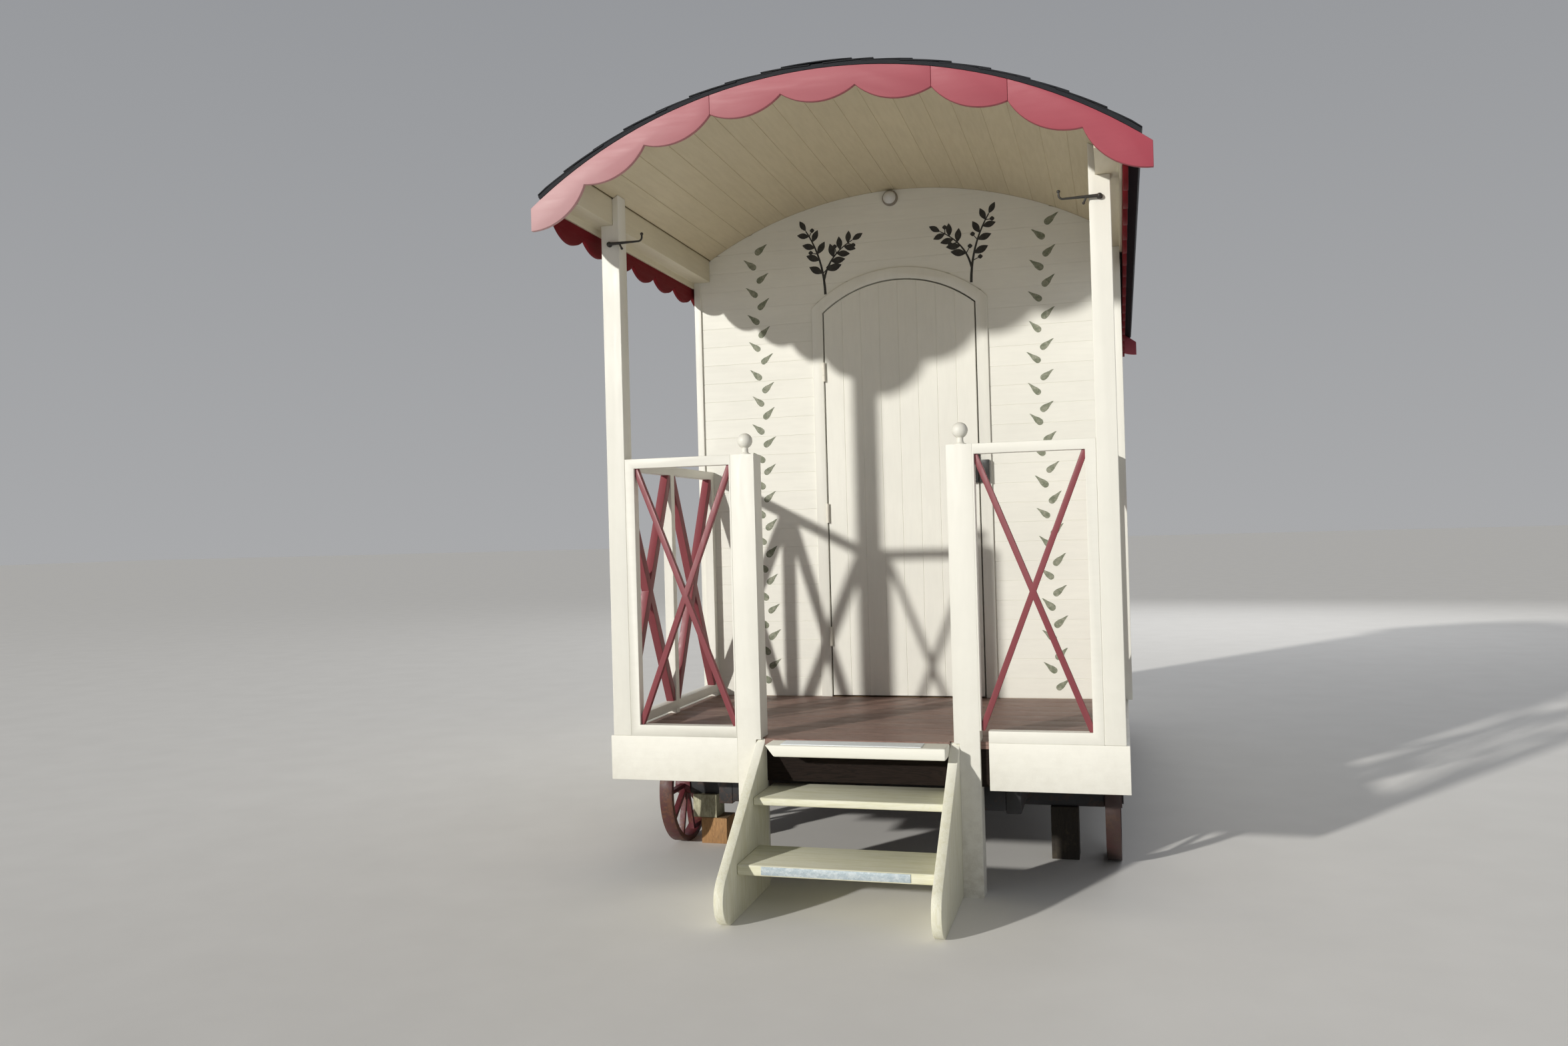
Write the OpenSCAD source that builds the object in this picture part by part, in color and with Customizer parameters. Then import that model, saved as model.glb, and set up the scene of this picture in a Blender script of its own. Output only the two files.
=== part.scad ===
// Shepherds hut with a railed front porch, a bowed roof and a flight of front steps.
// +X is to the right seen from the front, +Y runs from the steps to the back wall, +Z is up.
// The origin lies on the ground under the middle of the whole length.

/* [Platform] */
// Width over the side fascia boards
platform_w = 2100; // [1960:10:2400]
// Height of the deck above the ground
deck_z = 600; // [560:5:700]
// Depth of the porch, from the front of its posts to the front wall
porch_d = 1240; // [1100:10:1500]
// Length of the cabin behind the porch
cabin_len = 3000; // [2400:20:4800]
// Thickness of the deck, floor and fascia boards
board_t = 28; // [20:1:32]
// Height of the fascia boards
fascia_h = 184; // [170:1:200]
// How far the fascia hangs below the floor joists
fascia_lap = 9; // [5:1:20]
// Width of a floor joist
joist_w = 45; // [38:1:60]
// Largest distance between two cross joists
joist_pitch = 480; // [400:10:600]

/* [Chassis] */
// Width of a chassis rail
rail_w = 60; // [50:1:90]
// Distance between the middles of the two chassis rails
rail_gap = 1200; // [1000:10:1300]
// Distance from the front of the posts to the front end of the rails
rail_front = 150; // [120:5:300]
// Distance from the back wall to the back end of the rails
rail_back = 60; // [40:5:200]
// Side of the square axle beam
axle_s = 70; // [60:1:90]
// Distance of the front axle behind the front of the posts, the same at the back wall
axle_inset = 670; // [560:10:900]
// Distance from the middle of a wheel to the middle of the packing pier inside it
pier_inset = 203; // [185:1:230]
// Side of a square packing block
block_s = 115; // [100:1:120]
// Height of the lower packing block of a stacked pier
block_h = 118; // [100:1:130]
// How far each block of the stacked pier stands outside the one below it
block_shift = 45; // [0:1:45]

/* [Wheels] */
// Radius of a wheel over its tyre
wheel_r = 260; // [240:1:280]
// Width of the tyre
tyre_w = 60; // [45:1:65]
// Depth of the rim
rim_t = 24; // [18:1:34]
// Radius of the hub
hub_r = 44; // [38:1:55]
// Radius of the axle stub in the hub
stub_r = 19; // [15:1:24]
// Number of spokes
spokes = 10; // [6:1:14]
// Width of a spoke
spoke_w = 18; // [14:1:24]
// Gap between a wheel and the side fascia
wheel_gap = 17; // [12:1:20]

/* [Steps] */
// How far the step cheeks reach in front of the posts
step_reach = 570; // [520:10:700]
// Thickness of a step cheek
cheek_t = 38; // [30:1:45]
// Thickness of the bottom tread
tread_t = 40; // [32:1:48]
// Thickness of the middle tread
middle_tread_t = 30; // [25:1:40]
// Thickness of the top tread
top_tread_t = 46; // [40:1:50]
// Depth of a tread from front to back
tread_d = 290; // [240:5:300]
// Depth of the narrow top tread
top_tread_d = 120; // [100:5:160]
// Drop from the deck to the top tread and the tops of the cheeks
top_drop = 5; // [2:1:10]
// Gap between the left end of the top tread and its cheek
tread_short = 33; // [10:1:60]
// Bevel under the left end of the top tread
tread_bevel = 36; // [10:1:45]
// Reach of the middle tread in front of the posts
middle_reach = 182; // [150:1:220]
// Distance from the nose of the middle tread to the nose of the bottom tread
tread_going = 223; // [180:1:240]
// Radius of the round lower front corner of a cheek
cheek_r = 100; // [60:5:120]
// Width of the metal grip strip on the top tread
grip_w = 90; // [60:1:100]

/* [Posts and rails] */
// Side of an outer post
post_s = 80; // [70:1:100]
// How far the outer face of a post stands in from the fascia
post_inset = 12; // [5:1:30]
// Side of a newel post
newel_s = 100; // [90:1:110]
// Clear width between the newel posts
newel_gap = 784; // [740:2:860]
// Height of the top rail above the deck
rail_top = 1157; // [1000:1:1200]
// Height of a top rail or a side bottom rail
bar_h = 40; // [35:1:55]
// Thickness of the rail frames
frame_t = 45; // [38:1:50]
// Width of the stile beside an outer post
stile_w = 41; // [30:1:60]
// Width of the stile beside a newel post
newel_stile_w = 8; // [5:1:30]
// Gap between the right newel post and the front boards beside it, below the rails
board_gap = 34; // [10:1:40]
// Height of the bottom rail of the front frames
sill_rail_h = 46; // [35:1:60]
// Clearance under the bottom rail of the side frames
side_rail_lift = 20; // [10:1:60]
// Width of a cross brace in the front frames
brace_w = 23; // [18:1:40]
// Thickness of a cross brace in the front frames
brace_t = 24; // [18:1:30]
// Width of a cross brace in the side frames
side_brace_w = 45; // [30:1:55]
// Thickness of a cross brace in the side frames
side_brace_t = 36; // [25:1:38]
// Diameter of the ball on a newel post
ball_d = 63; // [50:1:70]
// Height of the neck under the ball
neck_h = 30; // [26:1:45]

/* [Roof] */
// Height of the underside of the roof covering above the deck, at the ridge
ridge_h = 2552; // [2450:1:2650]
// Radius of the underside of the roof covering
roof_r = 1937; // [1850:1:2100]
// Reach of the roof covering past the outer face of a side valance
cover_over = 50; // [40:1:70]
// Thickness of the roof covering
cover_t = 25; // [15:1:40]
// Thickness of the ceiling boards
ceiling_t = 22; // [16:1:28]
// Reach of the roof in front of the posts
front_over = 345; // [250:5:400]
// Reach of the roof behind the back wall
rear_over = 150; // [120:5:250]
// How far the covering drips past the end valances
drip = 6; // [3:1:12]
// Width of an eave beam
beam_w = 85; // [60:1:100]
// Height of an eave beam at its outer face
beam_h = 56; // [40:1:100]
// How far the strip on the outer face of an eave beam hangs below it
strip_drop = 28; // [10:1:40]

/* [Valances] */
// Reach of an end valance past each side of the roof covering
valance_over = 34; // [20:1:60]
// Thickness of the valance boards
valance_t = 18; // [15:1:24]
// Number of scallops on an end valance
scallops = 9; // [7:2:11]
// Drop from the roof to the points between the scallops
cusp_drop = 71; // [55:1:90]
// Depth of a scallop
scallop_d = 50; // [35:1:60]
// Gap between a side wall and its side valance
valance_room = 12; // [8:1:25]
// Nominal pitch of the scallops along the sides
side_pitch = 267; // [220:1:320]
// Depth of a side valance from its top edge to the lowest point of its scallops
side_valance_h = 179; // [150:1:200]
// Gap at a joint between two boards of the front valance
valance_joint = 1; // [0.5:0.5:3]

/* [Walls and door] */
// How far a side wall stands out from the side fascia
wall_over = 20; // [10:1:25]
// Thickness of the walls
wall_t = 80; // [70:1:100]
// Width of the door leaf
door_w = 758; // [720:2:800]
// Clearance round the door leaf
door_gap = 7; // [6:0.5:8]
// Drop from the underside of the roof covering at the ridge to the crown of the door opening
crown_drop = 468; // [430:1:560]
// Rise of the arch of the door opening
door_rise = 143; // [90:1:160]
// Thickness of the door leaf
leaf_t = 44; // [38:1:50]
// Width of the door frame seen from the front
jamb_w = 56; // [45:1:65]
// How far the door frame stands in front of the wall
jamb_proud = 10; // [6:1:16]
// How far the leaf lies behind the front of the frame
leaf_set = 2; // [1:0.5:4]
// Reach of the door stop into the opening
stop_w = 12; // [10:1:18]
// Width of a corner board
corner_w = 45; // [35:1:60]
// Thickness of a corner board
corner_t = 10; // [6:1:16]

/* [Ironwork] */
// Length of a door hinge
hinge_h = 96; // [75:1:110]
// Radius of a hinge knuckle
knuckle_r = 7; // [6:0.5:9]
// Radius of a hinge pin
pin_r = 3; // [2.5:0.5:4]
// Height of the middle of the lower hinge above the deck
low_hinge = 304; // [250:1:400]
// Height of the middle of the centre hinge above the deck
mid_hinge = 925; // [800:1:1000]
// Drop from the crown of the door opening to the middle of the upper hinge
top_hinge_drop = 445; // [400:1:520]
// Width of the lock case
lock_w = 96; // [80:1:130]
// Height of the lock case
lock_h = 190; // [120:1:200]
// Depth of the lock case
lock_d = 22; // [18:1:30]
// Height of the bottom of the lock case above the deck
lock_z = 1052; // [900:1:1150]
// Width of the keep on the frame
keep_w = 46; // [30:1:50]
// Reach of a hook from its post towards the middle
hook_reach = 150; // [100:5:200]
// Drop from the underside of the eave beams to the hooks
hook_drop = 83; // [60:1:200]
// Radius of the hook iron at its root
hook_root_r = 7; // [5:0.5:9]
// Radius of the hook iron at its tip
hook_r = 4; // [3:0.5:6]
// Radius of the porch light
light_r = 39; // [28:1:50]
// Gap between the porch light and the ceiling above it
light_gap = 3; // [2:1:60]
// How far the porch light stands to the left of the middle
light_off = 23; // [0:1:40]

/* [Hidden] */
$fn = 72;
// Clearance at curved seats
fit = 0.3;
// Running clearance at the hinge pins
pin_fit = 0.08;
// Lengths along the hut, and the front plane of the porch posts
platform_len = porch_d + cabin_len;
whole_len = step_reach + platform_len + rear_over + drip;
front_y = step_reach - whole_len / 2;
back_y = front_y + platform_len;
wall_y = front_y + porch_d;
roof_front = front_y - front_over;
roof_back = back_y + rear_over;
// Floor build-up
frame_h = fascia_h - board_t - fascia_lap;
frame_top = deck_z - board_t;
frame_low = frame_top - frame_h;
axle_top = wheel_r + axle_s / 2;
pier_top = wheel_r - axle_s / 2;
half_w = platform_w / 2;
inner_w = half_w - board_t;
// Rear axle position from the same inset as the front one
axle_y = [front_y + axle_inset, back_y - axle_inset];
wheel_x = inner_w - wheel_gap - tyre_w / 2;
hub_w = tyre_w + 12;
pier_x = wheel_x - pier_inset;
// A wheel reaches up into a recess in the floor frame, this clear of it
wheel_room = 12;
// Porch joinery
post_x = half_w - post_inset - post_s / 2;
newel_x = newel_gap / 2 + newel_s / 2;
side_frame_x = post_x + post_s / 2 - 3 - frame_t / 2;
rail_z = deck_z + rail_top;
brace_back = (frame_t - brace_t) / 2;
// Widths, each from the one inside it
wall_w = platform_w + 2 * wall_over;
ceiling_x = wall_w / 2 + valance_room;
cover_w = 2 * (ceiling_x + valance_t + cover_over);
valance_w = cover_w + 2 * valance_over;
// Roof arc
arc_z = deck_z + ridge_h - roof_r;
ceiling_r = roof_r - ceiling_t;
beam_out = wall_w / 2;
beam_in = beam_out - beam_w;
beam_low = arc_z + sqrt(pow(ceiling_r, 2) - pow(beam_out, 2)) - beam_h;
valance_low = roof_r - cusp_drop;
valance_edge = asin(valance_w / 2 / valance_low);
lobe_angle = 2 * valance_edge / scallops;
side_valance_top = arc_z + sqrt(pow(roof_r - fit, 2) - pow(ceiling_x + valance_t, 2));
// Door opening
door_crown = ridge_h - crown_drop;
high_hinge = door_crown - top_hinge_drop;
open_half = door_w / 2 + door_gap;
open_r = (pow(open_half, 2) + pow(door_rise, 2)) / (2 * door_rise);
open_z = deck_z + door_crown - open_r;
jamb_half = open_half + jamb_w;
jamb_front = wall_y - jamb_proud;
leaf_front = jamb_front + leaf_set;
leaf_back = leaf_front + leaf_t;
hinge_x = -door_w / 2 - door_gap / 2;
hinge_y = jamb_front - knuckle_r;
plate_t = 2;

// Shared shapes

// A flat outline in X and Z, drawn out from y0 to y1
module run_y(y0, y1) {
    translate([0, y1, 0]) rotate([90, 0, 0]) linear_extrude(y1 - y0) children();
}

// A flat outline in Y and Z, drawn out from x0 to x1
module run_x(x0, x1) {
    translate([x0, 0, 0]) rotate([90, 0, 90]) linear_extrude(x1 - x0) children();
}

// A box from its lowest corner and its highest corner
module block(low, high) {
    translate(low) cube(high - low);
}

// The space under the ceiling boards, as an outline in X and Z
module under_ceiling() {
    translate([0, arc_z]) circle(ceiling_r - fit, $fn = 180);
}

// A straight-sided opening with a segmental head, as an outline in X and Z
module arched(half, r, z0) {
    spring = open_z + sqrt(r * r - half * half);
    translate([-half, z0]) square([2 * half, spring - z0]);
    intersection() {
        translate([-half, spring - 1]) square([2 * half, r]);
        translate([0, open_z]) circle(r, $fn = 120);
    }
}

// Two crossed diagonals of a given width between the corners of a w by h opening
module cross_brace(w, h, bar) {
    slope = atan2(h, w);
    intersection() {
        square([w, h]);
        union() {
            translate([w / 2, h / 2]) rotate(slope) square([2 * (w + h), bar], center = true);
            translate([w / 2, h / 2]) rotate(-slope) square([2 * (w + h), bar], center = true);
        }
    }
}

// Chassis

module chassis_rails() {
    color([0.20, 0.20, 0.21])
    for (s = [-1, 1])
        translate([s * rail_gap / 2, 0, 0])
            block([-rail_w / 2, front_y + rail_front, axle_top], [rail_w / 2, back_y - rail_back, frame_low]);
}

module cross_members() {
    bays = 3;
    run = platform_len - rail_front - rail_back - rail_w;
    half = rail_gap / 2 - rail_w / 2;
    color([0.20, 0.20, 0.21])
    for (i = [0 : bays])
        translate([0, front_y + rail_front + i * run / bays, 0])
            block([-half, 0, axle_top + 10], [half, rail_w, frame_low - 10]);
}

// A square beam with a round stub and a collar at each end
module axle(y) {
    beam_half = wheel_x - hub_w / 2 - fit;
    color([0.22, 0.22, 0.23])
    translate([0, y, wheel_r]) {
        block([-beam_half, -axle_s / 2, -axle_s / 2], [beam_half, axle_s / 2, axle_s / 2]);
        rotate([0, 90, 0]) cylinder(r = stub_r, h = 2 * wheel_x + hub_w + 2 * fit, center = true);
        for (s = [-1, 1])
            translate([s * (wheel_x + hub_w / 2 + fit + 3), 0, 0]) rotate([0, 90, 0])
                cylinder(r = stub_r + 8, h = 6, center = true);
    }
}

// A spoked iron wheel about its own axle line, which runs along X
module wheel() {
    spoke_len = wheel_r - rim_t - hub_r;
    rotate([0, 90, 0]) {
        difference() {
            cylinder(r = wheel_r, h = tyre_w, center = true, $fn = 120);
            cylinder(r = wheel_r - rim_t, h = tyre_w + 2, center = true, $fn = 120);
        }
        difference() {
            union() {
                cylinder(r = hub_r, h = hub_w, center = true);
                for (i = [0 : spokes - 1])
                    rotate([0, 0, (i + 0.5) * 360 / spokes])
                        translate([hub_r - 6, -spoke_w / 2, -spoke_w * 0.7]) cube([spoke_len + 12, spoke_w, spoke_w * 1.4]);
            }
            cylinder(r = stub_r + fit, h = hub_w + 2, center = true);
        }
    }
}

module wheel_pair(y) {
    color([0.55, 0.16, 0.20])
    for (s = [-1, 1])
        translate([s * wheel_x, y, wheel_r]) wheel();
}

module packing(x, y, side, low, high) {
    translate([x, y, 0]) block([-side / 2, -side / 2, low], [side / 2, side / 2, high]);
}

// One pier under each end of both axles, the left front one of two blocks set out of line
module piers() {
    color([0.62, 0.60, 0.48]) {
        packing(pier_x, axle_y[0], block_s, 0, pier_top);
        packing(pier_x, axle_y[1], block_s, 0, pier_top);
        packing(-pier_x, axle_y[1], block_s, 0, pier_top);
        packing(-pier_x - block_shift, axle_y[0], block_s + 10, 0, block_h);
        packing(-pier_x - 2 * block_shift, axle_y[0], block_s, block_h, pier_top);
    }
}

// Floor

// A rim with long and cross joists, notched round the newel posts and recessed over the wheels
module floor_frame() {
    y0 = front_y + board_t;
    y1 = back_y;
    bays = ceil((y1 - y0) / joist_pitch);
    pitch = (y1 - y0 - joist_w) / bays;
    long_x = [inner_w - joist_w / 2, wheel_x - hub_w / 2 - joist_w, rail_gap / 2, 0];
    color([0.36, 0.27, 0.22])
    difference() {
        union() {
            for (i = [0 : bays])
                block([-inner_w, y0 + i * pitch, frame_low], [inner_w, y0 + i * pitch + joist_w, frame_top]);
            for (x = long_x, s = [-1, 1])
                translate([s * x, 0, 0])
                    block([-joist_w / 2, y0, frame_low], [joist_w / 2, y1, frame_top]);
        }
        newel_notch();
        for (y = axle_y, s = [-1, 1])
            translate([s * wheel_x, y, wheel_r]) rotate([0, 90, 0])
                cylinder(r = wheel_r + wheel_room, h = 2 * (half_w - wheel_x), center = true);
    }
}

module newel_notch() {
    for (s = [-1, 1])
        translate([s * newel_x, 0, 0])
            block([-newel_s / 2 - fit, front_y - 1, 0], [newel_s / 2 + fit, front_y + newel_s + fit, deck_z + 1]);
}

// The porch boards run across, and reach forward between the newel posts
module deck() {
    color([0.47, 0.37, 0.33])
    difference() {
        union() {
            block([-inner_w, front_y + board_t, frame_top], [inner_w, wall_y, deck_z]);
            block([-cheek_in, front_y, frame_top], [cheek_in, front_y + board_t, deck_z]);
        }
        newel_notch();
    }
}

module cabin_floor() {
    color([0.60, 0.50, 0.38]) block([-inner_w, wall_y, frame_top], [inner_w, back_y, deck_z]);
}

// Two short boards, from each front corner to its newel post, the right one cut short
module front_fascias() {
    near = newel_x + newel_s / 2;
    color([0.93, 0.92, 0.87])
    for (run = [[-half_w, -near], [near + board_gap, half_w]])
        block([run[0], front_y, deck_z - fascia_h], [run[1], front_y + board_t, deck_z]);
}

module side_fascias() {
    color([0.93, 0.92, 0.87])
    for (x0 = [-half_w, inner_w])
        block([x0, front_y + board_t, deck_z - fascia_h], [x0 + board_t, back_y, deck_z]);
}

// Steps

riser = deck_z / 3;
cheek_x = newel_gap / 2 + 2;
cheek_in = cheek_x - cheek_t / 2;
cheek_out = cheek_x + cheek_t / 2;
// The raked edge runs from the top of the cheek and meets the round corner as a tangent
cheek_top = [board_t - 12, deck_z - top_drop];
corner_mid = [cheek_r - step_reach, cheek_r];
corner_way = cheek_top - corner_mid;
rake = atan2(corner_way[1], corner_way[0]) - asin(cheek_r / norm(corner_way));
touch = corner_mid + cheek_r * [-sin(rake), cos(rake)];

module cheek_outline() {
    translate(corner_mid) circle(cheek_r);
    polygon([[board_t, 0], [corner_mid[0], 0], corner_mid, touch, cheek_top, [board_t, cheek_top[1]]]);
}

module step_cheeks() {
    color([0.86, 0.83, 0.70])
    for (s = [-1, 1])
        translate([s * cheek_x, front_y, 0]) run_x(-cheek_t / 2, cheek_t / 2) cheek_outline();
}

// Two treads housed between the cheeks, and a narrow one in front of the deck with a bevelled left end
module step_treads() {
    top_z = deck_z - top_drop;
    left = tread_short - cheek_in;
    color([0.86, 0.83, 0.70]) {
        tread(middle_reach, middle_tread_t, 2 * riser);
        tread(middle_reach + tread_going, tread_t, riser);
        run_y(front_y - top_tread_d, front_y)
            polygon([[left, top_z], [left + tread_bevel, top_z - top_tread_t],
                     [cheek_in, top_z - top_tread_t], [cheek_in, top_z]]);
    }
}

module tread(nose, thick, z) {
    block([-cheek_in, front_y - nose, z - thick], [cheek_in, front_y - nose + tread_d, z]);
}

// Metal strips: one lying on the top tread, one on the front edge of the bottom tread
module tread_grips() {
    strip = 3;
    half = 280;
    nose = middle_reach + tread_going;
    top_y = front_y - top_tread_d + 12;
    top_z = deck_z - top_drop;
    color([0.70, 0.72, 0.72]) {
        block([-half, top_y, top_z], [half, top_y + grip_w, top_z + strip]);
        block([-half, front_y - nose - strip, riser - tread_t + 6], [half, front_y - nose, riser - 3]);
    }
}

// Porch posts and rails

// The outer posts stand on the deck, carry the eave beams in a notch and are scribed to the ceiling
module outer_post(s) {
    color([0.95, 0.94, 0.90])
    run_y(front_y, front_y + post_s)
        difference() {
            intersection() {
                translate([s * post_x - post_s / 2, deck_z]) square([post_s, ridge_h]);
                under_ceiling();
            }
            translate([s > 0 ? beam_in : -beam_out, beam_low]) square([beam_w, ridge_h]);
        }
}

// A newel post from the ground up, notched for its cheek, with a ball on a turned neck
module newel(s) {
    cut = s > 0 ? [0, cheek_out + fit] : [-cheek_out - fit, 0];
    color([0.95, 0.94, 0.90]) {
        difference() {
            translate([s * newel_x, front_y + newel_s / 2, 0])
                block([-newel_s / 2, -newel_s / 2, 0], [newel_s / 2, newel_s / 2, rail_z]);
            block([cut[0], front_y - 1, -1], [cut[1], front_y + board_t + fit, deck_z - top_drop + fit]);
        }
        translate([s * newel_x, front_y + newel_s / 2, rail_z - 1])
            rotate_extrude() finial_profile();
    }
}

// Half the outline of the finial: a base, a hollow neck and the ball
module finial_profile() {
    base_r = ball_d * 0.38;
    neck_r = ball_d * 0.21;
    ball_z = neck_h + ball_d / 2 - 3;
    intersection() {
        square([ball_d, neck_h + ball_d]);
        union() {
            translate([0, ball_z]) circle(ball_d / 2);
            square([neck_r, neck_h + 4]);
            square([base_r, 6]);
            difference() {
                square([base_r - 2, 6 + base_r - neck_r]);
                translate([base_r, 6 + base_r - neck_r]) circle(base_r - neck_r);
            }
        }
    }
}

front_open_w = post_x - post_s / 2 - stile_w - newel_x - newel_s / 2 - newel_stile_w;
front_open_h = rail_top - bar_h - sill_rail_h;

// The opening of a front frame, as an outline in X and Z
module front_opening(s) {
    near = newel_x + newel_s / 2 + newel_stile_w;
    translate([s > 0 ? near : -near - front_open_w, deck_z + sill_rail_h]) children();
}

// A frame on each side of the steps, from the outer post to the newel post
module front_rails() {
    near = newel_x + newel_s / 2;
    far = post_x - post_s / 2;
    color([0.95, 0.94, 0.90])
    for (s = [-1, 1])
        run_y(front_y, front_y + frame_t)
            difference() {
                translate([s > 0 ? near : -far, deck_z]) square([far - near, rail_top]);
                front_opening(s) square([front_open_w, front_open_h]);
                translate([0, deck_z - 1]) square([near + board_gap, sill_rail_h + 1]);
            }
}

module front_braces() {
    color([0.60, 0.22, 0.27])
    for (s = [-1, 1])
        run_y(front_y + brace_back, front_y + brace_back + brace_t)
            front_opening(s) cross_brace(front_open_w, front_open_h, brace_w);
}

// Side frames: rails from the outer post to the wall, a middle stile and a stile on the wall
side_run = porch_d - post_s;
side_bay = (side_run - 2 * frame_t) / 2;
side_open_h = rail_top - 2 * bar_h - side_rail_lift;

module side_bays() {
    for (i = [0, 1])
        translate([front_y + post_s + i * (side_bay + frame_t), deck_z + side_rail_lift + bar_h]) children();
}

module side_rails(s) {
    color([0.95, 0.94, 0.90])
    translate([s * side_frame_x, 0, 0])
        run_x(-frame_t / 2, frame_t / 2)
            difference() {
                translate([front_y + post_s, deck_z]) square([side_run, rail_top]);
                side_bays() square([side_bay, side_open_h]);
                for (i = [0, 1])
                    translate([front_y + post_s + i * (side_bay + frame_t), deck_z - 1])
                        square([side_bay, side_rail_lift + 1]);
            }
}

module side_braces() {
    color([0.60, 0.22, 0.27])
    for (s = [-1, 1])
        translate([s * side_frame_x, 0, 0])
            run_x(-side_brace_t / 2, side_brace_t / 2)
                side_bays() cross_brace(side_bay, side_open_h, side_brace_w);
}

// The eave beams lie on the outer posts against the ceiling, each with a strip down its outer face
module eave_beams() {
    strip_low = beam_low - strip_drop;
    top = deck_z + ridge_h;
    color([0.93, 0.91, 0.84])
    for (s = [-1, 1])
        run_y(roof_front + valance_t, wall_y)
            intersection() {
                polygon([[s * beam_in, beam_low], [s * beam_out, beam_low], [s * beam_out, strip_low],
                         [s * ceiling_x, strip_low], [s * ceiling_x, top], [s * beam_in, top]]);
                under_ceiling();
            }
}

// Walls

module front_wall_side(s) {
    color([0.93, 0.92, 0.86])
    run_y(wall_y, wall_y + wall_t)
        intersection() {
            translate([s > 0 ? jamb_half : -wall_w / 2, deck_z]) square([wall_w / 2 - jamb_half, ridge_h]);
            under_ceiling();
        }
}

module front_wall_head() {
    color([0.93, 0.92, 0.86])
    run_y(wall_y, wall_y + wall_t)
        difference() {
            intersection() {
                translate([-jamb_half, deck_z + door_crown / 2]) square([2 * jamb_half, ridge_h]);
                under_ceiling();
            }
            arched(jamb_half + 1, open_r + jamb_w + fit, deck_z);
        }
}

module side_wall(s) {
    color([0.93, 0.92, 0.86])
    run_y(wall_y + wall_t, back_y - wall_t)
        intersection() {
            translate([s > 0 ? wall_w / 2 - wall_t : -wall_w / 2, deck_z]) square([wall_t, ridge_h]);
            under_ceiling();
        }
}

module back_wall() {
    color([0.93, 0.92, 0.86])
    run_y(back_y - wall_t, back_y)
        intersection() {
            translate([-wall_w / 2, deck_z]) square([wall_w, ridge_h]);
            under_ceiling();
        }
}

// Corner boards on the front wall outside the side rails and under the beams, and on the back wall
module corner_boards() {
    rail_out = side_frame_x + frame_t / 2;
    color([0.93, 0.92, 0.86])
    for (s = [-1, 1]) {
        run_y(wall_y - corner_t, wall_y)
            translate([s > 0 ? rail_out : -wall_w / 2, deck_z])
                square([wall_w / 2 - rail_out, beam_low - deck_z]);
        run_y(back_y, back_y + corner_t)
            intersection() {
                translate([s > 0 ? wall_w / 2 - corner_w : -wall_w / 2, deck_z]) square([corner_w, ridge_h]);
                under_ceiling();
            }
    }
}

// Roof

// A band of the roof arc between two radii, cut upright at half its width
module arc_band(r0, r1, half) {
    intersection() {
        translate([0, arc_z])
            difference() {
                circle(r1, $fn = 180);
                circle(r0, $fn = 180);
            }
        translate([-half, arc_z]) square([2 * half, r1 + 1]);
    }
}

module ceiling() {
    color([0.90, 0.87, 0.78])
    run_y(roof_front + valance_t, roof_back - valance_t) arc_band(ceiling_r, roof_r, ceiling_x);
}

module roof_covering() {
    color([0.07, 0.07, 0.09])
    run_y(roof_front - drip, roof_back + drip) arc_band(roof_r + fit, roof_r + cover_t, cover_w / 2);
}

// The curved end valance, a band of the roof arc with scallops hanging from it
module end_valance() {
    half_chord = valance_low * sin(lobe_angle / 2);
    sag = valance_low * cos(lobe_angle / 2) - (valance_low - scallop_d);
    lobe_r = (half_chord * half_chord + sag * sag) / (2 * sag);
    intersection() {
        union() {
            arc_band(valance_low, roof_r, valance_w / 2);
            translate([0, arc_z])
                intersection() {
                    circle(roof_r, $fn = 180);
                    for (i = [0 : scallops - 1])
                        rotate(90 + (i - (scallops - 1) / 2) * lobe_angle)
                            translate([valance_low - scallop_d + lobe_r, 0]) circle(lobe_r);
                }
        }
        translate([-valance_w / 2, arc_z]) square([valance_w, roof_r + 1]);
    }
}

// The front valance is four boards, joined at three of the points between scallops
module front_valance() {
    joints = [-1.5, 1.5, 2.5];
    color([0.76, 0.40, 0.43])
    run_y(roof_front, roof_front + valance_t)
        difference() {
            end_valance();
            for (k = joints)
                translate([valance_low * sin(k * lobe_angle) - valance_joint / 2, arc_z])
                    square([valance_joint, roof_r + 1]);
        }
}

module back_valance() {
    color([0.76, 0.40, 0.43])
    run_y(roof_back - valance_t, roof_back) end_valance();
}

// A straight scalloped board under each edge of the roof
module side_valances() {
    y0 = roof_front + valance_t;
    y1 = roof_back - valance_t;
    count = round((y1 - y0) / side_pitch);
    pitch = (y1 - y0) / count;
    low = side_valance_top - side_valance_h;
    lobe_r = (pitch * pitch / 4 + scallop_d * scallop_d) / (2 * scallop_d);
    color([0.70, 0.32, 0.36])
    for (x0 = [-ceiling_x - valance_t, ceiling_x])
        run_x(x0, x0 + valance_t)
            intersection() {
                union() {
                    translate([y0, low + scallop_d])
                        square([y1 - y0, side_valance_top - low - scallop_d]);
                    for (i = [0 : count - 1])
                        translate([y0 + (i + 0.5) * pitch, low + lobe_r]) circle(lobe_r);
                }
                translate([y0, low - 1]) square([y1 - y0, side_valance_top - low + 1]);
            }
}

// Door

module door_frame() {
    color([0.94, 0.93, 0.88]) {
        run_y(jamb_front, wall_y + wall_t)
            difference() {
                arched(jamb_half, open_r + jamb_w, deck_z);
                arched(open_half, open_r, deck_z - 1);
            }
        run_y(leaf_back + door_gap, wall_y + wall_t)
            difference() {
                arched(open_half + 1, open_r + 1, deck_z);
                arched(open_half - stop_w, open_r - stop_w, deck_z - 1);
            }
    }
}

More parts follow.
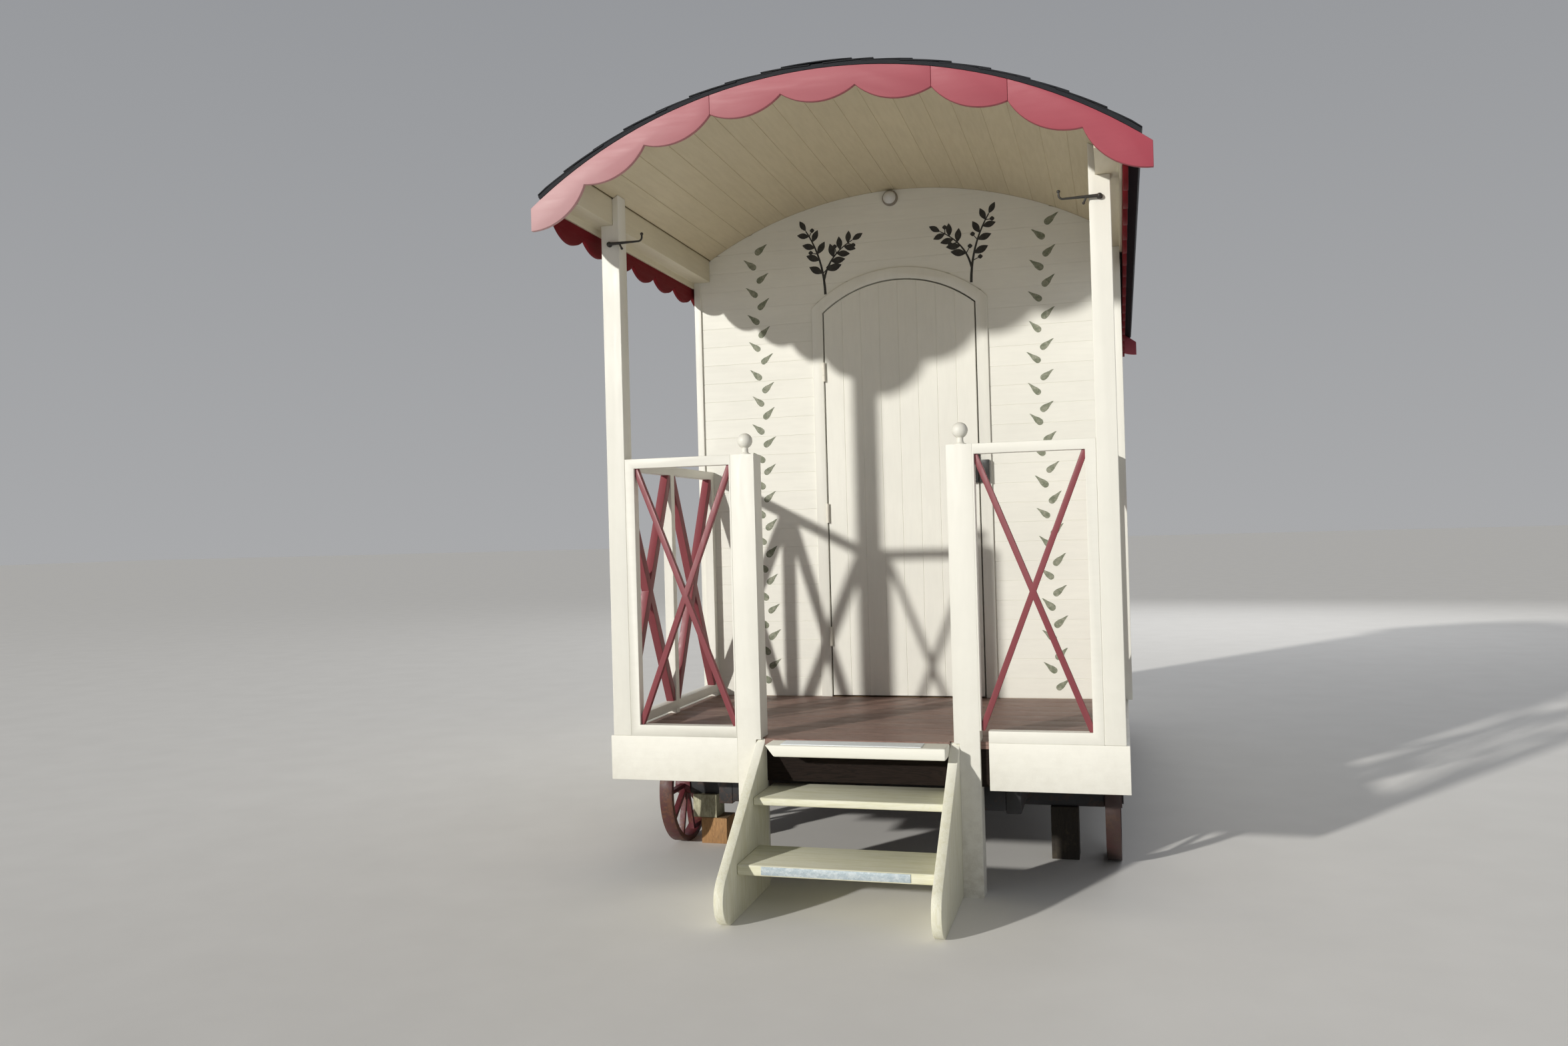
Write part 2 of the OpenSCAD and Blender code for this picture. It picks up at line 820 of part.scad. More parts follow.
// The leaf clears the frame and the floor all round by the door gap
module door_leaf() {
    color([0.94, 0.93, 0.88])
    run_y(leaf_front, leaf_back)
        arched(door_w / 2, open_r - door_gap, deck_z + door_gap);
}

hinge_zs = [deck_z + low_hinge, deck_z + mid_hinge, deck_z + high_hinge];
knuckle_gap = 1;
knuckle_h = (hinge_h - 2 * knuckle_gap) / 3;

// Pin, upper and lower knuckles, and the plate on the edge of the frame
module frame_hinges() {
    color([0.90, 0.89, 0.84])
    for (z = hinge_zs)
        translate([hinge_x, hinge_y, z - hinge_h / 2]) {
            cylinder(r = pin_r, h = hinge_h);
            for (z0 = [0, hinge_h - knuckle_h])
                translate([0, 0, z0]) {
                    cylinder(r = knuckle_r, h = knuckle_h);
                    block([-door_gap / 2, 0, 0], [-door_gap / 2 + plate_t, knuckle_r + 30, knuckle_h]);
                }
        }
}

// Middle knuckle and the plate on the edge of the leaf
module leaf_hinges() {
    color([0.90, 0.89, 0.84])
    for (z = hinge_zs)
        translate([hinge_x, hinge_y, z - knuckle_h / 2])
            difference() {
                union() {
                    cylinder(r = knuckle_r, h = knuckle_h);
                    block([door_gap / 2 - plate_t, 0, 0], [door_gap / 2, knuckle_r + 30, knuckle_h]);
                }
                translate([0, 0, -1]) cylinder(r = pin_r + pin_fit, h = knuckle_h + 2);
            }
}

// The lock case on the leaf, with a smaller upper part and a round knob
module door_lock() {
    x1 = door_w / 2;
    x0 = x1 - lock_w;
    z0 = deck_z + lock_z;
    color([0.06, 0.06, 0.06]) {
        run_y(leaf_front - lock_d, leaf_front)
            polygon([[x0, z0], [x1, z0], [x1, z0 + lock_h * 0.9],
                     [x1 - lock_w * 0.55, z0 + lock_h], [x0, z0 + lock_h]]);
        translate([x0 + lock_w * 0.4, leaf_front - lock_d - 30, z0 + lock_h * 0.35])
            rotate([-90, 0, 0]) {
                cylinder(r = 8, h = 31);
                cylinder(r = 24, h = 14);
            }
    }
}

// The keep stands on the frame beside the lock case
module lock_keep() {
    color([0.06, 0.06, 0.06])
    block([open_half, jamb_front - lock_d, deck_z + lock_z],
          [open_half + keep_w, jamb_front, deck_z + lock_z + lock_h * 0.58]);
}

// Small ironwork

// A round glass light on a short base, standing out from the wall
module porch_light() {
    color([0.80, 0.80, 0.74])
    translate([-light_off, wall_y, deck_z + ridge_h - ceiling_t - light_gap - light_r])
    rotate([90, 0, 0]) {
        cylinder(r = light_r, h = 12);
        cylinder(r = light_r * 0.82, h = 22);
        translate([0, 0, 22 - light_r * 0.2])
            intersection() {
                sphere(r = light_r * 0.84);
                cylinder(r = light_r, h = light_r);
            }
    }
}

// A wall boss, a tapered arm towards the middle, an upturned end and a short lower prong
module hook() {
    bend = 16;
    out = 14;
    rotate([90, 0, 0]) cylinder(r = 11, h = out - hook_r + 1);
    translate([0, -out, 0]) {
        rotate([0, -90, 0]) cylinder(r1 = hook_root_r, r2 = hook_r, h = hook_reach - bend);
        sphere(r = hook_root_r * 1.3);
        translate([-hook_reach + bend, 0, bend])
            rotate([90, 0, 0]) rotate([0, 0, 180])
                rotate_extrude(angle = 90) translate([bend, 0]) circle(hook_r, $fn = 24);
        translate([-hook_reach, 0, bend]) {
            cylinder(r = hook_r, h = 8);
            translate([0, 0, 13]) sphere(r = hook_r * 1.7);
        }
        translate([-hook_reach * 0.32, 0, 0]) rotate([0, 205, 0]) {
            cylinder(r = hook_r, h = 24);
            translate([0, 0, 26]) sphere(r = hook_r * 1.4);
        }
    }
}

module hooks() {
    color([0.05, 0.05, 0.05])
    for (s = [0, 1])
        mirror([s, 0, 0]) translate([post_x, front_y, beam_low - hook_drop]) hook();
}

chassis_rails();
cross_members();
axle(axle_y[0]);  // front_axle
axle(axle_y[1]);  // rear_axle
wheel_pair(axle_y[0]);  // front_wheels
wheel_pair(axle_y[1]);  // rear_wheels
piers();
floor_frame();
deck();
cabin_floor();
front_fascias();
side_fascias();
step_cheeks();
step_treads();
tread_grips();
outer_post(-1);  // outer_post_left
outer_post(1);  // outer_post_right
newel(-1);  // newel_left
newel(1);  // newel_right
front_rails();
front_braces();
side_rails(-1);  // side_rails_left
side_rails(1);  // side_rails_right
side_braces();
eave_beams();
front_wall_side(-1);  // front_wall_left
front_wall_side(1);  // front_wall_right
front_wall_head();
side_wall(-1);  // side_wall_left
side_wall(1);  // side_wall_right
back_wall();
corner_boards();
ceiling();
roof_covering();
front_valance();
back_valance();
side_valances();
door_frame();
door_leaf();
frame_hinges();
leaf_hinges();
door_lock();
lock_keep();
porch_light();
hooks();
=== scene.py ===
# Shepherds hut: camera, light, materials, and the pieces that are finer than the CAD
import math
import random

import bmesh
import bpy
from mathutils import Matrix, Vector


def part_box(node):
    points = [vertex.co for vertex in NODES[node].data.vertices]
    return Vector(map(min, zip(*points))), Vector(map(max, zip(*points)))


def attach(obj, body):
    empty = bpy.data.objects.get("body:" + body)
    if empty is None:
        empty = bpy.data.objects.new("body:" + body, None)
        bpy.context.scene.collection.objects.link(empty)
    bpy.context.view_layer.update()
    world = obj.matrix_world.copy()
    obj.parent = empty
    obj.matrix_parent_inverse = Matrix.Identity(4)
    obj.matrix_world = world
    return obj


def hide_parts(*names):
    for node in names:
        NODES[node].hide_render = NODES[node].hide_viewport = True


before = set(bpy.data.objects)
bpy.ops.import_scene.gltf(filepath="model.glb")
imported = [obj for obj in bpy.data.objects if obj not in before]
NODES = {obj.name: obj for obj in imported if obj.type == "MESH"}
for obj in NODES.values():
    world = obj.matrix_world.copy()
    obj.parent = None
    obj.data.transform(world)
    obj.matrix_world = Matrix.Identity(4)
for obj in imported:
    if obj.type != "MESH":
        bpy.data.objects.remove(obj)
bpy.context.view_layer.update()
rnd = random.Random(20)

# Places in the row frame, in metres, taken from the CAD nodes
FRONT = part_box("front_rails")[0].y
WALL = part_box("front_wall_head")[0].y
WALL_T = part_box("front_wall_head")[1].y - WALL
WALL_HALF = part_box("front_wall_right")[1].x
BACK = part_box("back_wall")[1].y
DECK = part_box("deck")[1].z

# The bow of the roof: height of its centre, then radii from the ceiling outward to the highest point
ARC_Z = 1.215
R_IN = 1.915
R_OUT = 1.937
FELT_R = 1.950
ROOF_R = 1.9619

# The arched opening in the door frame, and the gap round the leaf in it
LEAF_GAP = 0.007
OPEN_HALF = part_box("door_leaf")[1].x + LEAF_GAP
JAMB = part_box("front_wall_head")[1].x - OPEN_HALF
HEAD_H = 2.084
RISE = 0.143
OPEN_R = (OPEN_HALF ** 2 + RISE ** 2) / (2 * RISE)
OPEN_Z = DECK + HEAD_H - OPEN_R

# Boards of walls and ceiling: width, thickness and the ease of their edges
PITCH = 0.095
CEILING_PITCH = 0.112
BOARD_T = 0.018
BOARD_EASE = 0.0016

# Small distances that keep two surfaces out of one place
CLEAR = 0.0005
HAIR = 0.0004

# The camera fitted to the photograph: pixels, degrees and metres
PHOTO_W = 2351.0
FOCAL = 1790.97
SENSOR = 36.0
VIEW_TURN = (-15.7354, 0.5292, -1.554)
VIEW_PLACE = Vector((1.0391, FRONT - 4.6447, DECK + 0.8266))

# The way that sunlight travels, worked out from the shadows in the photograph
SUN_WAY = Vector((0.524, 0.760, -0.270))


# Camera and light

def add_object(name, data):
    o = bpy.data.objects.new(name, data)
    bpy.context.scene.collection.objects.link(o)
    return o


def camera():
    """The photograph's view."""
    yaw, pitch, roll = (math.radians(a) for a in VIEW_TURN)
    ahead = Vector((math.sin(yaw) * math.cos(pitch), math.cos(yaw) * math.cos(pitch), math.sin(pitch)))
    level = ahead.cross(Vector((0, 0, 1))).normalized()
    upright = level.cross(ahead)
    right = level * math.cos(roll) + upright * math.sin(roll)
    up = upright * math.cos(roll) - level * math.sin(roll)
    cam = add_object("view_camera", bpy.data.cameras.new("view_camera"))
    cam.data.sensor_fit = "HORIZONTAL"
    cam.data.sensor_width = SENSOR
    cam.data.lens = FOCAL * SENSOR / PHOTO_W
    cam.data.clip_end = 200.0
    turn = Matrix((right, up, -ahead)).transposed().to_4x4()
    turn.translation = VIEW_PLACE
    cam.matrix_world = turn
    bpy.context.scene.camera = cam


def key_light():
    """Low sun from behind the camera's left shoulder."""
    sun = bpy.data.lights.new("key_light", "SUN")
    sun.energy = 3.05
    sun.angle = math.radians(2.0)
    sun.color = (1.0, 0.975, 0.925)
    add_object("key_light", sun).rotation_euler = SUN_WAY.to_track_quat("-Z", "Y").to_euler()


def area(name, place, target, size, power, colour):
    """A soft rectangular light at place, turned to target."""
    light = bpy.data.lights.new(name, "AREA")
    light.shape = "RECTANGLE"
    light.size, light.size_y = size
    light.energy = power
    light.color = colour
    way = Vector(target) - Vector(place)
    turn = way.to_track_quat("-Z", "Y").to_matrix().to_4x4()
    add_object(name, light).matrix_world = Matrix.Translation(place) @ turn


def sky():
    """A grey surround, darker overhead and towards the front."""
    world = bpy.data.worlds.new("studio_world")
    bpy.context.scene.world = world
    world.use_nodes = True
    g = Graph(world, "Background")
    _, y, z = g.split(g.new("ShaderNodeTexCoord").outputs["Generated"])
    depth = g.new("ShaderNodeMath", operation="MULTIPLY_ADD")
    g.link(y, depth.inputs[0])
    for i in (1, 2):
        depth.inputs[i].default_value = 0.5
    up = g.ramp(z, [(0.0, (0.395, 0.40, 0.41)), (0.6, (0.265, 0.275, 0.295))])
    back = g.ramp(depth.outputs[0], [(0.2, (0.46, 0.46, 0.47)), (0.8, (1.0, 1.0, 1.0))])
    g.put("Color", g.mix(1.0, up, back, "MULTIPLY"))


def studio_floor():
    reach = 150.0
    corners = [(x * reach, y * reach, 0) for x, y in ((-1, -1), (1, -1), (1, 1), (-1, 1))]
    mesh = bpy.data.meshes.new("studio_floor")
    mesh.from_pydata(corners, [], [(0, 1, 2, 3)])
    mat, g = material("studio_floor_mat")
    tone = g.noise(g.coords(), 3.0)
    g.put("Base Color", g.ramp(tone, [(0.3, (0.82, 0.805, 0.77)), (0.7, (0.85, 0.835, 0.80))]))
    g.put("Roughness", 0.85)
    mesh.materials.append(mat)
    add_object("studio_floor", mesh)


def studio():
    key_light()
    area("fill_light", (7.5, -9.0, 3.5), (0, 0, 1.2), (7.0, 5.0), 80, (0.95, 0.97, 1.0))
    area("back_light", (3.0, 13.0, 8.0), (0, 1.0, 1.5), (9.0, 7.0), 420, (0.97, 0.98, 1.0))
    sky()
    studio_floor()
    bpy.context.scene.view_settings.view_transform = "Standard"


# Shader helpers

class Graph:
    """Short calls for building one node tree, of a material or of the world."""

    def __init__(self, owner, shader="Principled BSDF"):
        self.tree = owner.node_tree
        self.shader = self.tree.nodes[shader]

    def new(self, kind, **values):
        n = self.tree.nodes.new(kind)
        for k, v in values.items():
            setattr(n, k, v)
        return n

    def link(self, a, b):
        self.tree.links.new(a, b)

    def feed(self, socket, value):
        if hasattr(value, "is_output"):
            self.link(value, socket)
        else:
            socket.default_value = value

    def put(self, name, value):
        self.feed(self.shader.inputs[name], value)

    def coords(self, scale=(1, 1, 1), shift=(0, 0, 0)):
        t = self.new("ShaderNodeTexCoord")
        m = self.new("ShaderNodeMapping")
        m.inputs["Scale"].default_value = scale
        m.inputs["Location"].default_value = shift
        self.link(t.outputs["Object"], m.inputs["Vector"])
        return m.outputs["Vector"]

    def board(self):
        """The random value of each board, from 0 to 1."""
        return self.new("ShaderNodeAttribute", attribute_name="board").outputs["Fac"]

    def board_coords(self, scale):
        """Object coordinates, pushed to another part of the grain on each board."""
        push = self.math("MULTIPLY", self.board(), 37.0)
        off = self.new("ShaderNodeCombineXYZ")
        for i in range(3):
            self.link(push, off.inputs[i])
        add = self.new("ShaderNodeVectorMath", operation="ADD")
        self.link(self.coords(scale), add.inputs[0])
        self.link(off.outputs[0], add.inputs[1])
        return add.outputs[0]

    def noise(self, v, scale, detail=3.0, rough=0.5, distort=0.0):
        n = self.new("ShaderNodeTexNoise")
        self.link(v, n.inputs["Vector"])
        n.inputs["Scale"].default_value = scale
        n.inputs["Detail"].default_value = detail
        n.inputs["Roughness"].default_value = rough
        n.inputs["Distortion"].default_value = distort
        return n.outputs["Fac"]

    def voronoi(self, v, scale):
        n = self.new("ShaderNodeTexVoronoi")
        self.link(v, n.inputs["Vector"])
        n.inputs["Scale"].default_value = scale
        return n.outputs["Distance"]

    def math(self, op, a, b=0.0):
        n = self.new("ShaderNodeMath", operation=op)
        self.feed(n.inputs[0], a)
        self.feed(n.inputs[1], b)
        return n.outputs[0]

    def ramp(self, fac, stops):
        """A colour ramp. A stop's value is a colour, or one number for a grey."""
        n = self.new("ShaderNodeValToRGB")
        elements = n.color_ramp.elements
        while len(elements) > 1:
            elements.remove(elements[0])
        for place, _ in stops[1:]:
            elements.new(place)
        for e, (place, value) in zip(elements, stops):
            colour = (value, value, value) if isinstance(value, float) else value
            e.position = place
            e.color = (*colour, 1)
        self.link(fac, n.inputs["Fac"])
        return n.outputs["Color"]

    def mix(self, fac, a, b, blend="MIX"):
        n = self.new("ShaderNodeMix", data_type="RGBA", blend_type=blend)
        self.feed(n.inputs["Factor"], fac)
        for socket, value in ((n.inputs[6], a), (n.inputs[7], b)):
            self.feed(socket, value if hasattr(value, "is_output") else (*value, 1))
        return n.outputs[2]

    def split(self, v):
        n = self.new("ShaderNodeSeparateXYZ")
        self.link(v, n.inputs[0])
        return n.outputs

    def bump(self, height, strength, distance=0.001, under=None):
        n = self.new("ShaderNodeBump")
        n.inputs["Strength"].default_value = strength
        n.inputs["Distance"].default_value = distance
        self.link(height, n.inputs["Height"])
        if under is not None:
            self.link(under, n.inputs["Normal"])
        return n.outputs["Normal"]


def material(name):
    mat = bpy.data.materials.new(name)
    mat.use_nodes = True
    return mat, Graph(mat)


def stretched(axis, k):
    """A scale that draws a texture out along one axis, by 1 / k."""
    return tuple(k if a == axis else 1.0 for a in "xyz")


def shade(c, k):
    return tuple(v * k for v in c)


# Materials

def bleached(g, col, plain, pale):
    """Red paint that the sun has turned pale, most at the left end."""
    spots = g.noise(g.coords(shift=(4, 2, 7)), 3.1, 5.0, 0.65)
    west = g.math("ADD", g.math("MULTIPLY", g.split(plain)[0], -0.4), 0.425)
    amount = g.ramp(g.math("ADD", west, g.math("MULTIPLY", spots, 0.15)),
                    [(0.04, 0.0), (0.33, 0.11), (0.58, 0.23), (0.71, 0.37), (0.836, 0.62), (0.96, 1.0)])
    return g.mix(amount, col, pale)


def grimy(g, col, plain, dirt):
    """Spattered mud, thickest near the ground and faint above the deck."""
    low = g.ramp(g.split(plain)[2], [(0.0, 1.0), (0.35, 0.38), (0.62, 0.12), (1.0, 0.03)])
    spatter = g.ramp(g.noise(plain, 26.0, 6.0, 0.7), [(0.40, 0.0), (0.70, 1.0)])
    mask = g.math("MULTIPLY", g.math("MULTIPLY", low, spatter), dirt)
    return g.mix(mask, col, (0.30, 0.25, 0.17))


def paint(name, colour, axis, dirt=0.0, rough=0.42, worn=0.0, pale=None, grain=1.0, gloss=0.5):
    """Brushed satin paint on timber, with its grain along one axis, grime low down and thin wear."""
    mat, g = material(name)
    v = g.board_coords(stretched(axis, 0.12))
    plain = g.coords()
    streak = g.noise(v, 55.0, 5.0, 0.6)
    fine = g.noise(v, 190.0, 4.0, 0.65)
    cloud = g.noise(plain, 1.7, 4.0, 0.6)
    col = g.mix(g.ramp(cloud, [(0.3, 0.0), (0.75, 1.0)]), shade(colour, 1.02), shade(colour, 0.93))
    col = g.mix(g.ramp(streak, [(0.42, 0.0), (0.62, 0.30 * grain)]), col, shade(colour, 0.86))
    col = g.mix(1.0, col, g.ramp(g.board(), [(0.0, 0.98), (1.0, 1.008)]), "MULTIPLY")
    if pale:
        col = bleached(g, col, plain, pale)
    if dirt:
        col = grimy(g, col, plain, dirt)
    if worn:
        chips = g.ramp(g.noise(v, 34.0, 7.0, 0.72), [(0.70, 0.0), (0.74, 1.0)])
        col = g.mix(g.math("MULTIPLY", chips, worn), col, (0.42, 0.33, 0.22))
    g.put("Base Color", col)
    g.put("Specular IOR Level", gloss)
    g.put("Roughness", g.ramp(streak, [(0.3, rough), (0.7, rough + 0.16)]))
    waves = g.bump(g.noise(v, 24.0, 3.0, 0.5, 0.3), 0.22 * grain, 0.0015)
    strokes = g.bump(streak, 0.30 * grain, 0.0006, waves)
    g.put("Normal", g.bump(fine, 0.22 * grain, 0.0003, strokes))
    return mat


def timber(name, light, dark, axis, knots, rough=0.62, stain=None, streak=None, gloss=0.5):
    """Bare or stained softwood: growth lines, darker knots and a fine fibre. Streaked timber is the steps',
    whose upper part is painted whiter as painted sunlight."""
    mat, g = material(name)
    v = g.board_coords(stretched(axis, 0.09))
    lines = g.noise(v, 30.0, 2.0, 0.4, 1.4)
    wave = g.math("FRACT", g.math("MULTIPLY", lines, 9.0))
    fibre = g.noise(v, 260.0, 3.0, 0.6)
    col = g.ramp(wave, [(0.0, shade(light, 0.98)), (0.55, light), (0.85, dark), (1.0, shade(dark, 1.05))])
    col = g.mix(g.ramp(fibre, [(0.35, 0.0), (0.8, 0.4)]), col, shade(dark, 0.8))
    col = g.mix(1.0, col, g.ramp(g.board(), [(0.0, 0.86), (1.0, 1.06)]), "MULTIPLY")
    spot = g.ramp(g.voronoi(g.board_coords(stretched(axis, 0.45)), 5.5), [(0.03, 1.0), (0.085, 0.0)])
    col = g.mix(g.math("MULTIPLY", spot, knots), col, shade(dark, 0.42))
    if stain:
        big = g.noise(g.coords(), 4.0, 5.0, 0.65)
        col = g.mix(g.ramp(big, [(0.45, 0.0), (0.75, 0.55)]), col, stain)
    if streak:
        long = g.noise(v, 46.0, 4.0, 0.6, 0.6)
        col = g.mix(g.ramp(long, [(0.48, 0.0), (0.62, 0.40)]), col, streak)
        # Painted sunlight: the upper part of the steps is painted paler
        up = g.ramp(g.split(g.coords())[2], [(0.42, 0.0), (0.56, 0.8)])
        col = g.mix(up, col, (0.88, 0.87, 0.79))
    g.put("Base Color", col)
    g.put("Specular IOR Level", gloss)
    g.put("Roughness", g.ramp(fibre, [(0.2, rough - 0.08), (0.8, rough + 0.12)]))
    g.put("Normal", g.bump(fibre, 0.35, 0.0005, g.bump(wave, 0.10, 0.0006)))
    return mat


def pier_mat():
    """Packing timber: an orange one with a pale one on it on the left, and one on the right painted near
    black as painted shade.
    """
    upper_z = 0.118
    right_x = 0.5
    mat, g = material("pier_wood")
    x, _, z = g.split(g.coords())
    lines = g.noise(g.board_coords(stretched("z", 0.12)), 42.0, 3.0, 0.5, 1.2)
    wave = g.math("FRACT", g.math("MULTIPLY", lines, 7.0))
    tone = g.ramp(wave, [(0.0, 0.80), (0.6, 1.0), (0.9, 0.66), (1.0, 0.72)])
    upper = g.ramp(z, [(upper_z - 0.0005, 0.0), (upper_z + 0.0005, 1.0)])
    right = g.ramp(x, [(right_x - 0.001, 0.0), (right_x + 0.001, 1.0)])
    col = g.mix(upper, (0.42, 0.23, 0.095), (0.50, 0.48, 0.33))
    # Painted shade: the right-hand pier is painted near black
    col = g.mix(right, col, (0.034, 0.027, 0.020))
    col = g.mix(1.0, col, tone, "MULTIPLY")
    spots = g.noise(g.coords(), 16.0, 6.0, 0.7)
    col = g.mix(g.ramp(spots, [(0.50, 0.0), (0.75, 0.5)]), col, (0.13, 0.105, 0.07))
    g.put("Base Color", col)
    g.put("Roughness", g.ramp(spots, [(0.3, 0.72), (0.7, 0.9)]))
    g.put("Normal", g.bump(wave, 0.35, 0.001))
    return mat


def iron(name, colour, rough, metallic, rust, hammer):
    """Painted or blackened iron, uneven, with a little rust showing through."""
    mat, g = material(name)
    v = g.coords()
    broad = g.noise(v, 11.0, 6.0, 0.65)
    fine = g.noise(v, 70.0, 5.0, 0.6)
    col = g.mix(g.ramp(broad, [(0.35, 0.0), (0.7, 1.0)]), colour, shade(colour, 0.72))
    bare = g.ramp(g.math("MULTIPLY", broad, g.math("ADD", fine, 0.45)), [(0.50, 0.0), (0.60, rust)])
    g.put("Base Color", g.mix(bare, col, (0.19, 0.075, 0.03)))
    g.put("Metallic", metallic)
    g.put("Roughness", g.ramp(fine, [(0.3, rough - 0.08), (0.7, rough + 0.15)]))
    dents = g.bump(g.noise(v, 38.0, 2.0, 0.4), hammer, 0.0012)
    g.put("Normal", g.bump(fine, 0.2, 0.0004, dents))
    return mat


def from_axle(g, y, z, node):
    """Distance from an axle's middle line."""
    lo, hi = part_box(node)
    dy = g.math("SUBTRACT", y, (lo.y + hi.y) / 2)
    dz = g.math("SUBTRACT", z, (lo.z + hi.z) / 2)
    return g.math("SQRT", g.math("ADD", g.math("MULTIPLY", dy, dy), g.math("MULTIPLY", dz, dz)))


def wheel_mat():
    """Dark red painted wheels with a rusty tyre and a greasy hub, told apart by radius. The right ones are
    painted darker, as painted shade."""
    tyre_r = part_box("front_wheels")[1].z / 2 - 0.0185
    hub_r = 0.033
    right_x = 0.5
    mat, g = material("wheel_paint")
    v = g.coords()
    x, y, z = g.split(v)
    near = g.math("MINIMUM", *(from_axle(g, y, z, node) for node in ("front_axle", "rear_axle")))
    broad = g.noise(v, 14.0, 6.0, 0.65)
    fine = g.noise(v, 85.0, 4.0, 0.6)
    red = g.mix(g.ramp(broad, [(0.35, 0.0), (0.7, 1.0)]), (0.125, 0.018, 0.024), (0.075, 0.013, 0.017))
    rusty = g.mix(g.ramp(broad, [(0.35, 0.0), (0.65, 1.0)]), (0.11, 0.030, 0.030), (0.065, 0.032, 0.024))
    col = g.mix(g.ramp(near, [(tyre_r - 0.001, 0.0), (tyre_r + 0.001, 1.0)]), red, rusty)
    col = g.mix(g.ramp(near, [(hub_r - 0.003, 1.0), (hub_r + 0.003, 0.0)]), col, (0.05, 0.045, 0.04))
    bare = g.ramp(g.math("MULTIPLY", broad, g.math("ADD", fine, 0.5)), [(0.52, 0.0), (0.62, 0.55)])
    col = g.mix(bare, col, (0.17, 0.065, 0.03))
    # Painted shade: the right-hand wheels are painted darker
    right = g.ramp(x, [(right_x - 0.001, 0.0), (right_x + 0.001, 0.75)])
    g.put("Base Color", g.mix(right, col, (0.026, 0.018, 0.015)))
    g.put("Roughness", g.ramp(fine, [(0.3, 0.42), (0.7, 0.62)]))
    dents = g.bump(g.noise(v, 45.0, 3.0, 0.5), 0.35, 0.001)
    g.put("Normal", g.bump(fine, 0.2, 0.0004, dents))
    return mat


def shingle_mat():
    """Black mineral felt shingles."""
    mat, g = material("shingle_felt")
    v = g.coords()
    grit = g.noise(v, 900.0, 2.0, 0.7)
    cloud = g.noise(v, 2.3, 5.0, 0.65)
    col = g.ramp(grit, [(0.25, (0.004, 0.005, 0.007)), (0.55, (0.012, 0.013, 0.017)),
                        (0.80, (0.042, 0.045, 0.054))])
    col = g.mix(1.0, col, g.ramp(g.board(), [(0.0, 0.70), (1.0, 1.35)]), "MULTIPLY")
    col = g.mix(g.ramp(cloud, [(0.50, 0.0), (0.80, 0.30)]), col, (0.048, 0.047, 0.043))
    g.put("Base Color", col)
    g.put("Specular IOR Level", 0.3)
    g.put("Roughness", g.ramp(grit, [(0.3, 0.62), (0.8, 0.85)]))
    grains = g.bump(g.voronoi(v, 420.0), 0.5, 0.0012)
    g.put("Normal", g.bump(grit, 0.5, 0.0008, grains))
    return mat


def stencil_mat(name, colour, thin):
    """Stencilled paint, patchy where the brush ran dry."""
    mat, g = material(name)
    v = g.coords()
    patches = g.noise(v, 60.0, 5.0, 0.7)
    fine = g.noise(v, 320.0, 3.0, 0.6)
    col = g.mix(g.ramp(patches, [(0.40, 0.0), (0.70, thin)]), colour, (0.62, 0.60, 0.50))
    col = g.mix(g.ramp(fine, [(0.45, 0.0), (0.75, 0.35)]), col, shade(colour, 0.6))
    g.put("Base Color", col)
    g.put("Roughness", g.ramp(fine, [(0.3, 0.5), (0.7, 0.7)]))
    g.put("Normal", g.bump(fine, 0.2, 0.0003))
    return mat


def metal_mat(name, colour, rough, worn):
    """Galvanised sheet: dull blue grey, rubbed bright in patches, and painted pale from half a metre up as a
    painted sheen.
    """
    mat, g = material(name)
    v = g.coords()
    patches = g.noise(g.coords((0.6, 1, 1)), 62.0, 6.0, 0.75)
    fine = g.noise(v, 240.0, 4.0, 0.6)
    col = g.mix(g.ramp(fine, [(0.35, 0.0), (0.7, 1.0)]), colour, shade(colour, 0.74))
    col = g.mix(g.ramp(patches, [(0.44, 0.0), (0.62, 0.75)]), col, worn)
    # Painted sheen: from half a metre up the sheet is painted pale blue white
    up = g.ramp(g.split(v)[2], [(0.45, 0.0), (0.55, 0.8)])
    g.put("Base Color", g.mix(up, col, (0.93, 0.97, 0.99)))
    g.put("Metallic", 0.15)
    g.put("Roughness", g.ramp(patches, [(0.3, rough + 0.2), (0.7, rough)]))
    g.put("Normal", g.bump(fine, 0.25, 0.0004))
    return mat


def glass_mat():
    """Slightly frosted glass of the porch light."""
    mat, g = material("light_glass")
    frost = g.noise(g.coords(), 90.0, 3.0, 0.6)
    clear = g.ramp(frost, [(0.3, 0.0), (0.7, 1.0)])
    g.put("Base Color", g.mix(clear, (0.97, 0.97, 0.95), (0.92, 0.92, 0.89)))
    g.put("Roughness", g.ramp(frost, [(0.3, 0.10), (0.7, 0.20)]))
    g.put("Transmission Weight", 0.25)
    g.put("IOR", 1.46)
    g.put("Normal", g.bump(frost, 0.2, 0.0005))
    return mat


# Mesh helpers

def finish_mesh(name, bm, mat, body, nodes=(), sharp=35.0):
    """Makes a piece of a bmesh. It replaces the nodes, and edges sharper than sharp degrees stay so."""
    mesh = bpy.data.meshes.new(name)
    bm.normal_update()
    bm.to_mesh(mesh)
    bm.free()
    o = add_object(name, mesh)
    mesh.materials.append(mat)
    for p in mesh.polygons:
        p.use_smooth = True
    mesh.set_sharp_from_angle(angle=math.radians(sharp))
    if nodes:
        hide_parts(*nodes)
    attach(o, body)


def tag(bm, faces, value):
    """Writes a board's random value on its faces. The layer has to be there before the faces are made."""
    layer = bm.faces.layers.float.get("board") or bm.faces.layers.float.new("board")
    for f in faces:
        f[layer] = value


def without_repeats(outline):
    """Drops points that lie on the one before them, round the whole outline."""

    def same(p, q):
        return abs(p[0] - q[0]) + abs(p[1] - q[1]) < 1e-5

    out = []
    for p in outline:
        if not out or not same(p, out[-1]):
            out.append(p)
    if same(out[0], out[-1]):
        out.pop()
    return out


